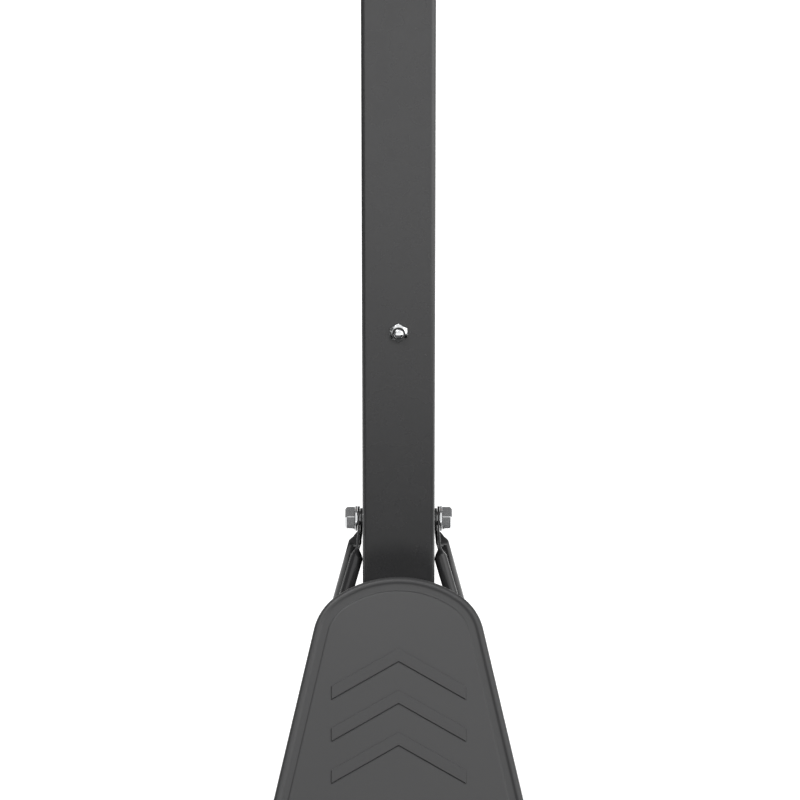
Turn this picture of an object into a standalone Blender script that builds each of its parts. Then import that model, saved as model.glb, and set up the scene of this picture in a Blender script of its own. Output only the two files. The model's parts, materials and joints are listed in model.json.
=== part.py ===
"""Portable basketball stand: ballast base, braced square pole, sliding mast, board and sprung rim.

Metres, +Z up. The origin is on the floor under the pole's axis, +Y points over the court, and
left and right are as seen from behind the stand, looking along +Y.
"""

from math import cos, hypot, pi, radians, sin, tan

import bmesh
import bpy
from mathutils import Matrix, Vector

MM = 0.001

# Clearances
GAP = 0.3 * MM
HOLE_PLAY = 0.3 * MM
MAST_PLAY = 0.6 * MM

# Outer pole
POLE_W = 80 * MM
POLE_WALL = 2.5 * MM
POLE_CORNER = 6 * MM
POLE_FOOT_Z = 44 * MM
POLE_TOP_Z = 1600 * MM
FOOT_PLUG = 5 * MM
COLLAR_WALL = 5 * MM
COLLAR_SKIRT = 36 * MM
COLLAR_TOP = 9 * MM
CLAMP_Z = 1530 * MM
CLAMP_BOSS_D = 30 * MM
CLAMP_BOSS_L = 14 * MM

# Inner mast
MAST_W = 70 * MM
MAST_WALL = 2 * MM
MAST_CORNER = 5 * MM
MAST_TOP_Z = 2450 * MM
GLIDE_FLANGE = 6 * MM
GLIDE_SPIGOT = 40 * MM
CAP_THICK = 5 * MM
CAP_SPIGOT = 22 * MM

# Fasteners: across flats, head height, shank diameter
M16_FLATS, M16_HEAD, M16_D = 24 * MM, 11 * MM, 16 * MM
M12_FLATS, M12_NUT, M12_HEAD, M12_D = 19 * MM, 10 * MM, 8 * MM, 12 * MM
M10_FLATS, M10_HEAD, M10_D = 16 * MM, 6.5 * MM, 10 * MM
M8_FLATS, M8_HEAD, M8_D = 13 * MM, 5.5 * MM, 8 * MM
CHAMFER = 0.94
THREAD_SHOW = 3 * MM
STOP_BOLT_RISE = 240 * MM

# Braces
STRUT_BOLT_Z = 430 * MM
STRUT_D = 14.5 * MM
EAR_W = 23 * MM
EAR_T = 2.6 * MM
EAR_FLAT = 13 * MM
EAR_END = 28 * MM
EAR_BEND = 37 * MM
EAR_SPLAY = 1.5 * MM
REAR_TUBE_SPLAY = 2.5 * MM
FRONT_TUBE_SPLAY = 6 * MM
REAR_FOOT_X = 139 * MM
REAR_FOOT_Y = -148 * MM
FRONT_FOOT_Y = 180 * MM
LUG_HOLE_REACH = 20 * MM
LUG_BEND = 12 * MM
FRONT_LUG_FLAT = 27 * MM
FRONT_LUG_L = 39 * MM
WASHER_D = 28 * MM
WASHER_T = 2.2 * MM
WELD_NUT_D = 26 * MM
WELD_NUT_L = 14 * MM
FOOT_BOLT_L = 22 * MM

# Base tank
DECK_HALF_W = 340 * MM
DECK_REAR_Y = -800 * MM
DECK_FRONT_Y = -70 * MM
DECK_H = 100 * MM
DECK_CORNER = 110 * MM
DECK_EDGE = 16 * MM
SEAM = 3 * MM
TONGUE_HALF_W = 112 * MM
TONGUE_H = 64 * MM
TONGUE_REACH = 212 * MM
TONGUE_EDGE = 9 * MM
NOSE_HALF_W = 50 * MM
NOSE_REACH = 288 * MM
HUMP_TOP_Z = 320 * MM
HUMP_WALL = 9 * MM
HUMP_FLARE = 0.196
HUMP_FRONT_SLOPE = 0.25
NECK_HALF_W = 34 * MM
NECK_TOP_Z = 374 * MM
PLATEAU_INSET = 62 * MM
PLATEAU_RISE = 9 * MM
TRAY_INSET = 46 * MM
TRAY_DEPTH = 7 * MM
TRAY_RIBS = 5
TRAY_RIB_W = 14 * MM
WELL_D = 46 * MM
WELL_DEPTH = 70 * MM
WELL_FROM_SIDE = 105 * MM
WELL_FROM_REAR = 500 * MM
WELL_RIM = 6 * MM

# Shield face of the base, measured in its own sloping plane from the top of its arch
FACE_ANGLE = radians(60)
FACE_TOP_Y = -94.2 * MM
FACE_TOP_Z = 399.4 * MM
FACE_THICK = 20 * MM
ARCH_R = 120 * MM
ARCH_HALF_ANGLE = radians(34.2)
SHOULDER_R = 60 * MM
SIDE_FLARE = radians(13.06)
RIM_W = 12.6 * MM
RIM_RISE = 2.6 * MM
PANEL_INSET = 13.8 * MM
PANEL_RISE = 1.6 * MM
CHEVRONS = 3
CHEVRON_HALF_W = 74 * MM
CHEVRON_DROP = 42 * MM
CHEVRON_BAR = 15 * MM
CHEVRON_PITCH = 46 * MM
CHEVRON_TOP = 78 * MM
CHEVRON_RISE = 2 * MM

# Transport wheels
WHEEL_D = 100 * MM
WHEEL_W = 30 * MM
HUB_D = 62 * MM
WHEEL_X = 74 * MM
WHEEL_Y = 262 * MM
WHEEL_LIFT = 4 * MM
AXLE_D = 12 * MM

# Fill plug
PLUG_FLANGE_D = 64 * MM
PLUG_FLANGE_T = 8 * MM
PLUG_SHANK_L = 18 * MM
PLUG_GRIP_W = 9 * MM
PLUG_GRIP_H = 10 * MM
SEAL_T = 2.5 * MM

# Clamp knob
KNOB_R = 24 * MM
KNOB_LOBE = 0.14
KNOB_T = 16 * MM
KNOB_NECK_R = 11 * MM
KNOB_STAND = 12 * MM
KNOB_LEAD = 3 * MM

# Board and its frame
BOARD_W = 1100 * MM
BOARD_H = 720 * MM
BOARD_T = 6 * MM
BOARD_CORNER = 30 * MM
BOARD_BELOW_HOOP = 140 * MM
FRAME_Y = 500 * MM
FRAME_W = 25 * MM
FRAME_WALL = 1.5 * MM
FRAME_CORNER = 2.5 * MM

# Truss brackets between mast and board
TRUSS_T = 5 * MM
TRUSS_BAR = 34 * MM
TRUSS_MAST_LOW_Z = 2060 * MM
TRUSS_MAST_HIGH_Z = 2400 * MM
TRUSS_RAIL_LOW_Z = 2250 * MM
TRUSS_RAIL_HIGH_Z = 2560 * MM

# Rim
HOOP_TOP_Z = 2300 * MM
HOOP_INNER_R = 225 * MM
HOOP_ROD = 18 * MM
HOOP_OFFSET = 151 * MM
MOUNT_W = 140 * MM
MOUNT_T = 4 * MM
MOUNT_ABOVE = 62 * MM
MOUNT_BELOW = 118 * MM
SHELF_W = 118 * MM
SHELF_D = 64 * MM
GUSSET_T = 4 * MM
MOUNT_BOLT_IN = 20 * MM
MOUNT_CORNER = 10 * MM
TONGUE_PLATE_T = 4 * MM
TONGUE_PLATE_W = 136 * MM
TONGUE_PLATE_FLANGE = 22 * MM
TONGUE_PLATE_BACK = 10 * MM
SPRING_X = 32 * MM
SPRING_BACK = 34 * MM
SPRING_R = 8.6 * MM
SPRING_WIRE = 2.6 * MM
SPRING_TURNS = 6
SPRING_L = 42 * MM
SPRING_SEAT_D = 22 * MM
SPRING_SEAT_T = 2 * MM
SLOT_L = 22 * MM

# Net
NET_LOW_R = 141 * MM
NET_L = 400 * MM
NET_WAIST = 8 * MM
NET_T = 5 * MM

# Facets
CORNER_STEPS = 3
ROUND = 24
COARSE = 12
NET_SIDES = 32
TYRE_SIDES = 32
KNOB_SIDES = 30
SECTION_POINTS = 12
COIL_POINTS = 8

# Derived places
FACE_OUT = Vector((0, -sin(FACE_ANGLE), cos(FACE_ANGLE)))
WELL_X = DECK_HALF_W - WELL_FROM_SIDE
WELL_Y = DECK_REAR_Y + WELL_FROM_REAR
STOP_BOLT_Z = STRUT_BOLT_Z + STOP_BOLT_RISE
MAST_FOOT_Z = STOP_BOLT_Z + M12_D / 2 + GAP
POLE_HALF = POLE_W / 2
POLE_BORE = POLE_HALF - POLE_WALL
MAST_HALF = MAST_W / 2
FRONT_EAR_X = POLE_HALF + GAP + EAR_T / 2
REAR_EAR_X = FRONT_EAR_X + EAR_T + GAP
WASHER_X = REAR_EAR_X + EAR_T / 2 + GAP
HEAD_X = WASHER_X + WASHER_T + GAP
FRONT_LUG_Z = TONGUE_H / 2
RAIL_IN_X = MAST_HALF + GAP + TRUSS_T + GAP
RAIL_X = RAIL_IN_X + FRAME_W / 2
BOARD_BACK_Y = FRAME_Y + FRAME_W + GAP
BOARD_FACE_Y = BOARD_BACK_Y + BOARD_T
HOOP_Z = HOOP_TOP_Z - HOOP_ROD / 2
HOOP_Y = BOARD_FACE_Y + HOOP_OFFSET + HOOP_INNER_R
HOOP_R = HOOP_INNER_R + HOOP_ROD / 2
BOARD_LOW_Z = HOOP_Z - BOARD_BELOW_HOOP
BOARD_HIGH_Z = BOARD_LOW_Z + BOARD_H
MOUNT_Y = BOARD_FACE_Y + GAP
SHELF_Y = MOUNT_Y + MOUNT_T + SHELF_D
SHELF_Z = HOOP_Z - TONGUE_PLATE_T / 2 - GAP
SPRING_Y = SHELF_Y - SPRING_BACK
WHEEL_Z = WHEEL_D / 2 + WHEEL_LIFT
UP = Vector((0, 0, 1))
RIGHT = Vector((1, 0, 0))
AHEAD = Vector((0, 1, 0))

SIDES = {"left": -1, "right": 1}


def clear_scene():
    for obj in list(bpy.data.objects):
        bpy.data.objects.remove(obj, do_unlink=True)


def collection(name):
    made = bpy.data.collections.new(name)
    bpy.context.scene.collection.children.link(made)
    return made


def paint(name, colour, roughness, metallic=0.0):
    made = bpy.data.materials.new(name)
    made.use_nodes = True
    shader = made.node_tree.nodes["Principled BSDF"]
    shader.inputs["Base Color"].default_value = (*colour, 1)
    shader.inputs["Roughness"].default_value = roughness
    shader.inputs["Metallic"].default_value = metallic
    return made


def frame_at(origin, along=UP, across=RIGHT):
    """A place whose local Z runs along one direction and local X across it."""
    z = Vector(along).normalized()
    x = (Vector(across) - Vector(across).dot(z) * z).normalized()
    turn = Matrix((x, z.cross(x), z)).transposed().to_4x4()
    return Matrix.Translation(origin) @ turn


def mesh_object(name, bm, material, place=None):
    mesh = bpy.data.meshes.new(name)
    bm.to_mesh(mesh)
    bm.free()
    obj = bpy.data.objects.new(name, mesh)
    obj.matrix_world = place or Matrix()
    parts.objects.link(obj)
    mesh.materials.append(material)
    mesh.shade_smooth()
    mesh.set_sharp_from_angle(angle=radians(35))
    return obj


def ring_loft(name, rings, material, place=None, closed=False):
    """A solid skinned over rings of equal count: capped at its ends, or closed into a tube."""
    bm = bmesh.new()
    loops = [[bm.verts.new(point) for point in ring] for ring in rings]
    count = len(loops[0])
    following = loops[1:] + loops[:1] if closed else loops[1:]
    for low, high in zip(loops, following):
        for i in range(count):
            j = (i + 1) % count
            bm.faces.new((low[i], low[j], high[j], high[i]))
    if not closed:
        bm.faces.new(loops[0][::-1])
        bm.faces.new(loops[-1])
    bmesh.ops.recalc_face_normals(bm, faces=bm.faces)
    return mesh_object(name, bm, material, place)


def plain(angle):
    return 1.0


def hexed(angle):
    """Reach of a hexagon's edge over half its flats, with a corner at a quarter turn."""
    return 1 / cos((angle + pi / 6) % (pi / 3) - pi / 6)


def lobed(angle):
    return 1 + KNOB_LOBE * cos(5 * angle)


def turned(name, steps, material, place, sides=ROUND, closed=False):
    """A solid of rings (height, radius, outline) stacked along the place's Z axis."""
    angles = [2 * pi * i / sides for i in range(sides)]
    rings = []
    for height, radius, outline in steps:
        reach = [radius * outline(a) for a in angles]
        rings.append([(r * cos(a), r * sin(a), height) for r, a in zip(reach, angles)])
    return ring_loft(name, rings, material, place, closed)


def cylinder(name, radius, start, end, material, sides=ROUND):
    start, end = Vector(start), Vector(end)
    bm = bmesh.new()
    bmesh.ops.create_cone(bm, cap_ends=True, segments=sides, radius1=radius, radius2=radius,
                          depth=(end - start).length)
    across = AHEAD if abs((end - start).normalized().x) > 0.9 else RIGHT
    return mesh_object(name, bm, material, frame_at((start + end) / 2, end - start, across))


def box(name, low, high, material, place=None):
    low, high = Vector(low), Vector(high)
    bm = bmesh.new()
    size = Matrix.Diagonal(high - low).to_4x4()
    bmesh.ops.create_cube(bm, size=1, matrix=Matrix.Translation((low + high) / 2) @ size)
    return mesh_object(name, bm, material, place)


def bevel(obj, width, segments=2):
    made = obj.modifiers.new("edge", "BEVEL")
    made.width = width
    made.segments = segments
    made.limit_method = "ANGLE"
    made.angle_limit = radians(40)
    return obj


def combine(target, operation, *others):
    """Adds or cuts other shapes with exact Boolean modifiers, and puts them with the cutters."""
    for other in others:
        parts.objects.unlink(other)
        cutters.objects.link(other)
        other.hide_render = True
        other.display_type = "WIRE"
        made = target.modifiers.new(other.name, "BOOLEAN")
        made.operation = operation
        made.solver = "EXACT"
        made.object = other
    return target


def union(target, *others):
    return combine(target, "UNION", *others)


def cut(target, *others):
    return combine(target, "DIFFERENCE", *others)


def drilled(target, radius, start, end, sides=ROUND):
    hole = cylinder(target.name + "_hole", radius, start, end, plastic, sides)
    return cut(target, hole)


def rounded_rectangle(half_x, half_y, radius, centre=(0, 0), steps=CORNER_STEPS):
    points = []
    for quarter, (side_x, side_y) in enumerate(((1, 1), (-1, 1), (-1, -1), (1, -1))):
        x = centre[0] + side_x * (half_x - radius)
        y = centre[1] + side_y * (half_y - radius)
        for step in range(steps + 1):
            a = (quarter + step / steps) * pi / 2
            points.append((x + radius * cos(a), y + radius * sin(a)))
    return points


def plate(name, loops, low, high, material, place=None):
    """A flat outline with its holes, filled as a 2D curve and raised between two heights."""
    curve = bpy.data.curves.new(name + "_outline", "CURVE")
    curve.dimensions = "2D"
    curve.fill_mode = "BOTH"
    curve.extrude = (high - low) / 2
    for loop in loops:
        spline = curve.splines.new("POLY")
        spline.points.add(len(loop) - 1)
        spline.use_cyclic_u = True
        for point, (x, y) in zip(spline.points, loop):
            point.co = (x, y, 0, 1)
    guide = bpy.data.objects.new(name + "_outline", curve)
    parts.objects.link(guide)
    flat = bpy.data.meshes.new_from_object(guide.evaluated_get(bpy.context.evaluated_depsgraph_get()))
    bpy.data.objects.remove(guide)
    bm = bmesh.new()
    bm.from_mesh(flat)
    bpy.data.meshes.remove(flat)
    bmesh.ops.remove_doubles(bm, verts=bm.verts, dist=1e-6)
    bmesh.ops.recalc_face_normals(bm, faces=bm.faces)
    lift = Matrix.Translation((0, 0, (high + low) / 2))
    return mesh_object(name, bm, material, (place or Matrix()) @ lift)


def square_tube(name, width, wall, corner, length, material, place):
    outer = rounded_rectangle(width / 2, width / 2, corner, steps=CORNER_STEPS)
    bore = rounded_rectangle(width / 2 - wall, width / 2 - wall, corner - wall / 2)
    return plate(name, [outer, bore], 0, length, material, place)


def bolt_steps(flats, head, shank_d, length, nut_at=None, nut_h=0.0):
    """Rings of a hex bolt from its head's top to its thread end, with a nut if one is asked."""
    half, r = flats / 2, shank_d / 2
    steps = [(-head, half * CHAMFER, plain), (-head * 0.82, half, hexed), (0, half, hexed), (0, r, plain)]
    if nut_at is not None:
        steps += [(nut_at, r, plain), (nut_at, half, hexed), (nut_at + nut_h * 0.85, half, hexed),
                  (nut_at + nut_h, half * CHAMFER, plain), (nut_at + nut_h, r, plain)]
    return steps + [(length - r / 5, r, plain), (length, r * 0.8, plain)]


def hex_bolt(name, seat, along, across, size, length, sides=COARSE, nut_at=None, nut_h=0.0):
    steps = bolt_steps(*size, length, nut_at, nut_h)
    return turned(name, steps, steel, frame_at(seat, along, across), sides)


def screwed(name, outline, sides, material, place):
    """A turned shape: a closed profile of (radius, height), swept round its axis by a Screw modifier."""
    bm = bmesh.new()
    verts = [bm.verts.new((radius, 0, height)) for radius, height in outline]
    for i, vert in enumerate(verts):
        bm.edges.new((vert, verts[(i + 1) % len(verts)]))
    obj = mesh_object(name, bm, material, place)
    screw = obj.modifiers.new("turn", "SCREW")
    screw.steps = screw.render_steps = sides
    screw.use_merge_vertices = True
    screw.merge_threshold = 1e-5
    return obj


def washer(name, inner, outer, thickness, material, place):
    profile = [(outer, thickness), (outer, 0), (inner, 0), (inner, thickness)]
    return screwed(name, profile, ROUND, material, place)


def hex_nut(name, flats, height, bore, place, sides=COARSE):
    """A nut with its outer corners turned off, on a round bore."""
    half = flats / 2
    steps = [(0, half, hexed), (height * 0.85, half, hexed), (height, half * CHAMFER, plain),
             (height, bore, plain), (0, bore, plain)]
    return turned(name, steps, steel, place, sides, closed=True)


def build_base_tank():
    deck_y = (DECK_REAR_Y + DECK_FRONT_Y) / 2
    deck_half_y = (DECK_FRONT_Y - DECK_REAR_Y) / 2

    def slab(name, half_x, half_y, corner, centre_y, profile):
        rings = []
        for inset, z in profile:
            flat = rounded_rectangle(half_x - inset, half_y - inset, corner - inset, (0, centre_y), 5)
            rings.append([(x, y, z) for x, y in flat])
        return ring_loft(name, rings, plastic)

    def edged(height, edge, seam=0.0):
        lower = [(0.8 * edge, 0), (0.2 * edge, 0.3 * edge), (0, edge)]
        middle = [(0, 0.42 * height), (-seam, 0.45 * height), (-seam, 0.49 * height), (0, 0.52 * height)]
        upper = [(0, height - edge), (0.3 * edge, height - 0.3 * edge), (edge, height)]
        return lower + (middle if seam else []) + upper

    tank = slab("base_tank", DECK_HALF_W, deck_half_y, DECK_CORNER, deck_y, edged(DECK_H, DECK_EDGE, SEAM))
    back_y = DECK_FRONT_Y - DECK_EDGE - DECK_CORNER
    tongue_half_y = (TONGUE_REACH - back_y) / 2
    tongue = slab("tongue", TONGUE_HALF_W, tongue_half_y, 3 * TONGUE_EDGE, back_y + tongue_half_y,
                  edged(TONGUE_H, TONGUE_EDGE))
    nose_back = TONGUE_REACH - 4 * TONGUE_EDGE
    nose_half_y = (NOSE_REACH - nose_back) / 2
    nose = slab("nose", NOSE_HALF_W, nose_half_y, 2 * TONGUE_EDGE, nose_back + nose_half_y,
                edged(TONGUE_H + WHEEL_LIFT, TONGUE_EDGE))
    plateau_y = (face_point_y(DECK_H) - FACE_THICK + DECK_REAR_Y) / 2
    plateau_half_y = plateau_y - DECK_REAR_Y - PLATEAU_INSET
    plateau_corner = DECK_CORNER - PLATEAU_INSET / 2
    top = DECK_H + PLATEAU_RISE
    plateau = slab("plateau", DECK_HALF_W - PLATEAU_INSET, plateau_half_y, plateau_corner, plateau_y,
                   [(-PLATEAU_RISE, DECK_H - DECK_EDGE), (-PLATEAU_RISE / 2, DECK_H), (0, top - 2 * MM),
                    (2 * MM, top)])
    tray_half_x = DECK_HALF_W - PLATEAU_INSET - TRAY_INSET
    tray_half_y = plateau_half_y - TRAY_INSET
    tray = slab("tray", tray_half_x, tray_half_y, plateau_corner - TRAY_INSET / 2, plateau_y,
                [(TRAY_DEPTH, top - TRAY_DEPTH), (0, top), (0, top + TRAY_DEPTH)])
    union(tank, tongue, nose, hump(), neck(), shield_plate(), plateau, *chevrons())
    cut(tank, tray)
    rib_space = 2 * tray_half_y / (TRAY_RIBS + 1)
    for i in range(TRAY_RIBS):
        y = plateau_y - tray_half_y + rib_space * (i + 1)
        reach = (tray_half_x - WELL_D, TRAY_RIB_W / 2, top - 2 * MM)
        low = (-reach[0], y - reach[1], top - 2 * TRAY_DEPTH)
        rib = box("tray_rib", low, (reach[0], y + reach[1], reach[2]), plastic)
        union(tank, bevel(rib, 3 * MM))
    boss_foot = (WELL_X, WELL_Y, DECK_H / 2)
    boss = cylinder("well_boss", PLUG_FLANGE_D / 2 + WELL_RIM, boss_foot, (WELL_X, WELL_Y, top), plastic)
    union(tank, boss)
    pocket_half = POLE_HALF + GAP
    pocket_floor = POLE_FOOT_Z - FOOT_PLUG - 2 * GAP
    pocket = rounded_rectangle(pocket_half, pocket_half, POLE_CORNER)
    cut(tank, plate("pole_pocket", [pocket], pocket_floor, FACE_TOP_Z + DECK_H, plastic))
    drilled(tank, WELL_D / 2, (WELL_X, WELL_Y, top - WELL_DEPTH), (WELL_X, WELL_Y, top + WELL_DEPTH))
    drilled(tank, AXLE_D / 2 + HOLE_PLAY, (-DECK_HALF_W, WHEEL_Y, WHEEL_Z), (DECK_HALF_W, WHEEL_Y, WHEEL_Z),
            COARSE)
    for side in SIDES.values():
        seat = rear_lug_seat(side)
        drilled(tank, M10_D / 2 + HOLE_PLAY, seat - FOOT_BOLT_L * UP, seat + FOOT_BOLT_L * UP, COARSE)
        seat = front_lug_seat(side)
        drilled(tank, M10_D / 2 + HOLE_PLAY, seat - FOOT_BOLT_L * side * RIGHT,
                seat + FOOT_BOLT_L * side * RIGHT, COARSE)
    return tank


def face_point_y(z):
    """Where the shield face stands at one height."""
    return FACE_TOP_Y - (FACE_TOP_Z - z) / tan(FACE_ANGLE)


def hump():
    """The tapered body behind the shield that holds the pole's foot."""
    top_half = POLE_HALF + GAP + HUMP_WALL
    foot_z = TONGUE_H / 2
    rings = []
    for z in (foot_z, HUMP_TOP_Z):
        half = top_half + HUMP_FLARE * (HUMP_TOP_Z - z)
        back = face_point_y(z) + FACE_THICK / 2 / sin(FACE_ANGLE)
        front = POLE_HALF + GAP + HUMP_WALL + HUMP_FRONT_SLOPE * (HUMP_TOP_Z - z)
        middle, reach = (front + back) / 2, (front - back) / 2
        flat = rounded_rectangle(half, reach, HUMP_WALL, (0, middle))
        rings.append([(x, y, z) for x, y in flat])
    return ring_loft("hump", rings, plastic)


def neck():
    """The narrow web that ties the top of the shield to the pole's socket."""
    within = FACE_THICK / 2 / sin(FACE_ANGLE)
    foot_z = HUMP_TOP_Z - 2 * HUMP_WALL
    side = [(face_point_y(foot_z) + within, foot_z), (0, foot_z), (0, NECK_TOP_Z),
            (face_point_y(NECK_TOP_Z) + within, NECK_TOP_Z)]
    return bevel(plate("neck", [side], -NECK_HALF_W, NECK_HALF_W, plastic, frame_at((0, 0, 0), RIGHT, AHEAD)),
                 3 * MM)


def shield_outline(inset, height):
    """The arch, shoulders and flared sides, inset by a distance, in the face's own plane."""
    floor = (FACE_TOP_Z - DECK_H / 2) / sin(FACE_ANGLE)
    turn_end = pi / 2 - SIDE_FLARE
    shoulder_x = (ARCH_R - SHOULDER_R) * sin(ARCH_HALF_ANGLE)
    shoulder_y = -ARCH_R + (ARCH_R - SHOULDER_R) * cos(ARCH_HALF_ANGLE)
    r = SHOULDER_R - inset
    half = []
    for step in range(5):
        a = turn_end + (ARCH_HALF_ANGLE - turn_end) * step / 4
        half.append((shoulder_x + r * sin(a), shoulder_y + r * cos(a)))
    side_x, side_y = half[0]
    half.insert(0, (side_x + (floor + side_y) * tan(SIDE_FLARE), -floor))
    for step in range(1, 5):
        a = ARCH_HALF_ANGLE * (1 - step / 4)
        half.append(((ARCH_R - inset) * sin(a), -ARCH_R + (ARCH_R - inset) * cos(a)))
    mirrored = [(-x, y) for x, y in reversed(half[:-1])]
    return [(x, y, height) for x, y in half + mirrored]


def face_place():
    return frame_at((0, FACE_TOP_Y, FACE_TOP_Z), FACE_OUT)


def shield_plate():
    """The shield: rounded edge, proud rim, flat band and raised panel, skinned as inset outlines."""
    profile = [(3 * MM, -FACE_THICK), (0, 4 * MM - FACE_THICK), (0, 0), (0.12 * RIM_W, 0.75 * RIM_RISE),
               (0.3 * RIM_W, RIM_RISE), (0.7 * RIM_W, 0.6 * RIM_RISE), (RIM_W, 0),
               (PANEL_INSET, 0), (PANEL_INSET + PANEL_RISE, PANEL_RISE)]
    rings = [shield_outline(inset, height) for inset, height in profile]
    return ring_loft("shield", rings, plastic, face_place())


def chevrons():
    """Plain raised chevrons on the panel."""
    made = []
    for i in range(CHEVRONS):
        top = -CHEVRON_TOP - i * CHEVRON_PITCH
        end = top - CHEVRON_DROP
        outer = [(0, top), (CHEVRON_HALF_W, end), (CHEVRON_HALF_W, end - CHEVRON_BAR), (0, top - CHEVRON_BAR),
                 (-CHEVRON_HALF_W, end - CHEVRON_BAR), (-CHEVRON_HALF_W, end)]
        made.append(plate("chevron", [outer], -PANEL_RISE, PANEL_RISE + CHEVRON_RISE, plastic, face_place()))
    return made


def build_pole():
    pole = square_tube("pole_lower", POLE_W, POLE_WALL, POLE_CORNER, POLE_TOP_Z - POLE_FOOT_Z, coated_steel,
                       frame_at((0, 0, POLE_FOOT_Z)))
    for side in SIDES.values():
        inner = side * (POLE_BORE + POLE_WALL / 2)
        tip = inner - side * WELD_NUT_L
        union(pole, cylinder("weld_nut", WELD_NUT_D / 2, (inner, 0, STRUT_BOLT_Z), (tip, 0, STRUT_BOLT_Z),
                             coated_steel))
    boss_face = -POLE_HALF - CLAMP_BOSS_L
    root = (0, -POLE_BORE - POLE_WALL / 2, CLAMP_Z)
    union(pole, cylinder("clamp_boss", CLAMP_BOSS_D / 2, (0, boss_face, CLAMP_Z), root, coated_steel))
    drilled(pole, M16_D / 2 + HOLE_PLAY, (-POLE_W, 0, STRUT_BOLT_Z), (POLE_W, 0, STRUT_BOLT_Z))
    drilled(pole, M12_D / 2 + HOLE_PLAY, (0, -POLE_W, STOP_BOLT_Z), (0, POLE_W, STOP_BOLT_Z))
    drilled(pole, M12_D / 2 + HOLE_PLAY, (0, -POLE_W, CLAMP_Z), (0, 0, CLAMP_Z))
    return pole


def square_rings(steps):
    """Rounded squares stacked along Z, from (half width, height, corner radius)."""
    return [[(x, y, z) for x, y in rounded_rectangle(half, half, corner)] for half, z, corner in steps]


def build_pole_fittings():
    foot_z = POLE_FOOT_Z - GAP
    plug = [(POLE_HALF, foot_z - FOOT_PLUG, POLE_CORNER), (POLE_HALF, foot_z, POLE_CORNER)]
    foot = ring_loft("pole_foot", square_rings(plug), dark_plastic)
    inner, outer = POLE_HALF + GAP, POLE_HALF + GAP + COLLAR_WALL
    lip = MAST_HALF + GAP
    low, top = POLE_TOP_Z - COLLAR_SKIRT, POLE_TOP_Z + COLLAR_TOP
    wide, tight = POLE_CORNER + COLLAR_WALL, MAST_CORNER + GAP
    steps = [(outer, low, wide), (outer, top - 3 * MM, wide), (outer - 3 * MM, top, wide - 3 * MM),
             (lip, top, tight), (lip, POLE_TOP_Z + GAP, tight), (inner, POLE_TOP_Z + GAP, POLE_CORNER + GAP),
             (inner, low, POLE_CORNER + GAP)]
    collar = ring_loft("pole_collar", square_rings(steps), dark_plastic, closed=True)
    return [foot, collar]


def build_stop_bolt():
    grip = POLE_W + 2 * GAP
    length = grip + M12_NUT + THREAD_SHOW
    head = (0, POLE_HALF + GAP, STOP_BOLT_Z)
    bolt = hex_bolt("stop_bolt", head, -AHEAD, RIGHT, (M12_FLATS, M12_HEAD, M12_D), length, ROUND)
    seat = frame_at((0, -POLE_HALF - GAP, STOP_BOLT_Z), -AHEAD, RIGHT)
    return [bolt, hex_nut("stop_nut", M12_FLATS, M12_NUT, M12_D / 2 + GAP, seat, ROUND)]


def build_strut_bolts(name, side):
    seat = Vector((side * HEAD_X, 0, STRUT_BOLT_Z))
    length = HEAD_X - POLE_BORE + WELD_NUT_L
    size = (M16_FLATS, M16_HEAD, M16_D)
    bolt = hex_bolt("strut_bolt_" + name, seat, -side * RIGHT, -AHEAD, size, length, ROUND)
    washer_place = frame_at((side * WASHER_X, 0, STRUT_BOLT_Z), side * RIGHT, AHEAD)
    bore = M16_D / 2 + HOLE_PLAY
    return [bolt, washer("strut_washer_" + name, bore, WASHER_D / 2, WASHER_T, steel, washer_place)]


def section(centre, width_way, thick_way, half_width, half_thick, squareness):
    """A ring between a flat strip and a round tube: squareness 2 is round, higher is flatter."""
    ring = []
    for i in range(SECTION_POINTS):
        a = 2 * pi * (i + 0.5) / SECTION_POINTS
        c, s = cos(a), sin(a)
        across = half_width * abs(c) ** (2 / squareness) * (1 if c > 0 else -1)
        through = half_thick * abs(s) ** (2 / squareness) * (1 if s > 0 else -1)
        ring.append(centre + across * width_way + through * thick_way)
    return ring


FLAT = 9
TUBE = 2


def flat_end(tip_way, bolt_centre, width_way, thick_way):
    """The rounded tip of a flattened end, from its outermost section to the bolt's centre."""
    rings = []
    for degrees in (18, 40, 65, 90):
        back = EAR_W / 2 * cos(radians(degrees))
        half = EAR_W / 2 * sin(radians(degrees))
        rings.append(section(bolt_centre + back * tip_way, width_way, thick_way, half, EAR_T / 2, FLAT))
    return rings


def flared(start, end, start_way, end_way, thick_start, thick_end):
    """Two sections that swell from the flat strip to the round tube."""
    r = STRUT_D / 2
    middle = (start + end) / 2
    way = (start_way + end_way).normalized()
    thick = (thick_start + thick_end).normalized()
    return [section(middle, way, thick, (EAR_W / 2 + r) / 2, (EAR_T / 2 + r) / 2, 3),
            section(end, end_way, thick_end, r, r, TUBE)]


def squared(way, axis):
    """A direction made square to a tube's axis."""
    return (way - way.dot(axis) * axis).normalized()


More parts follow.
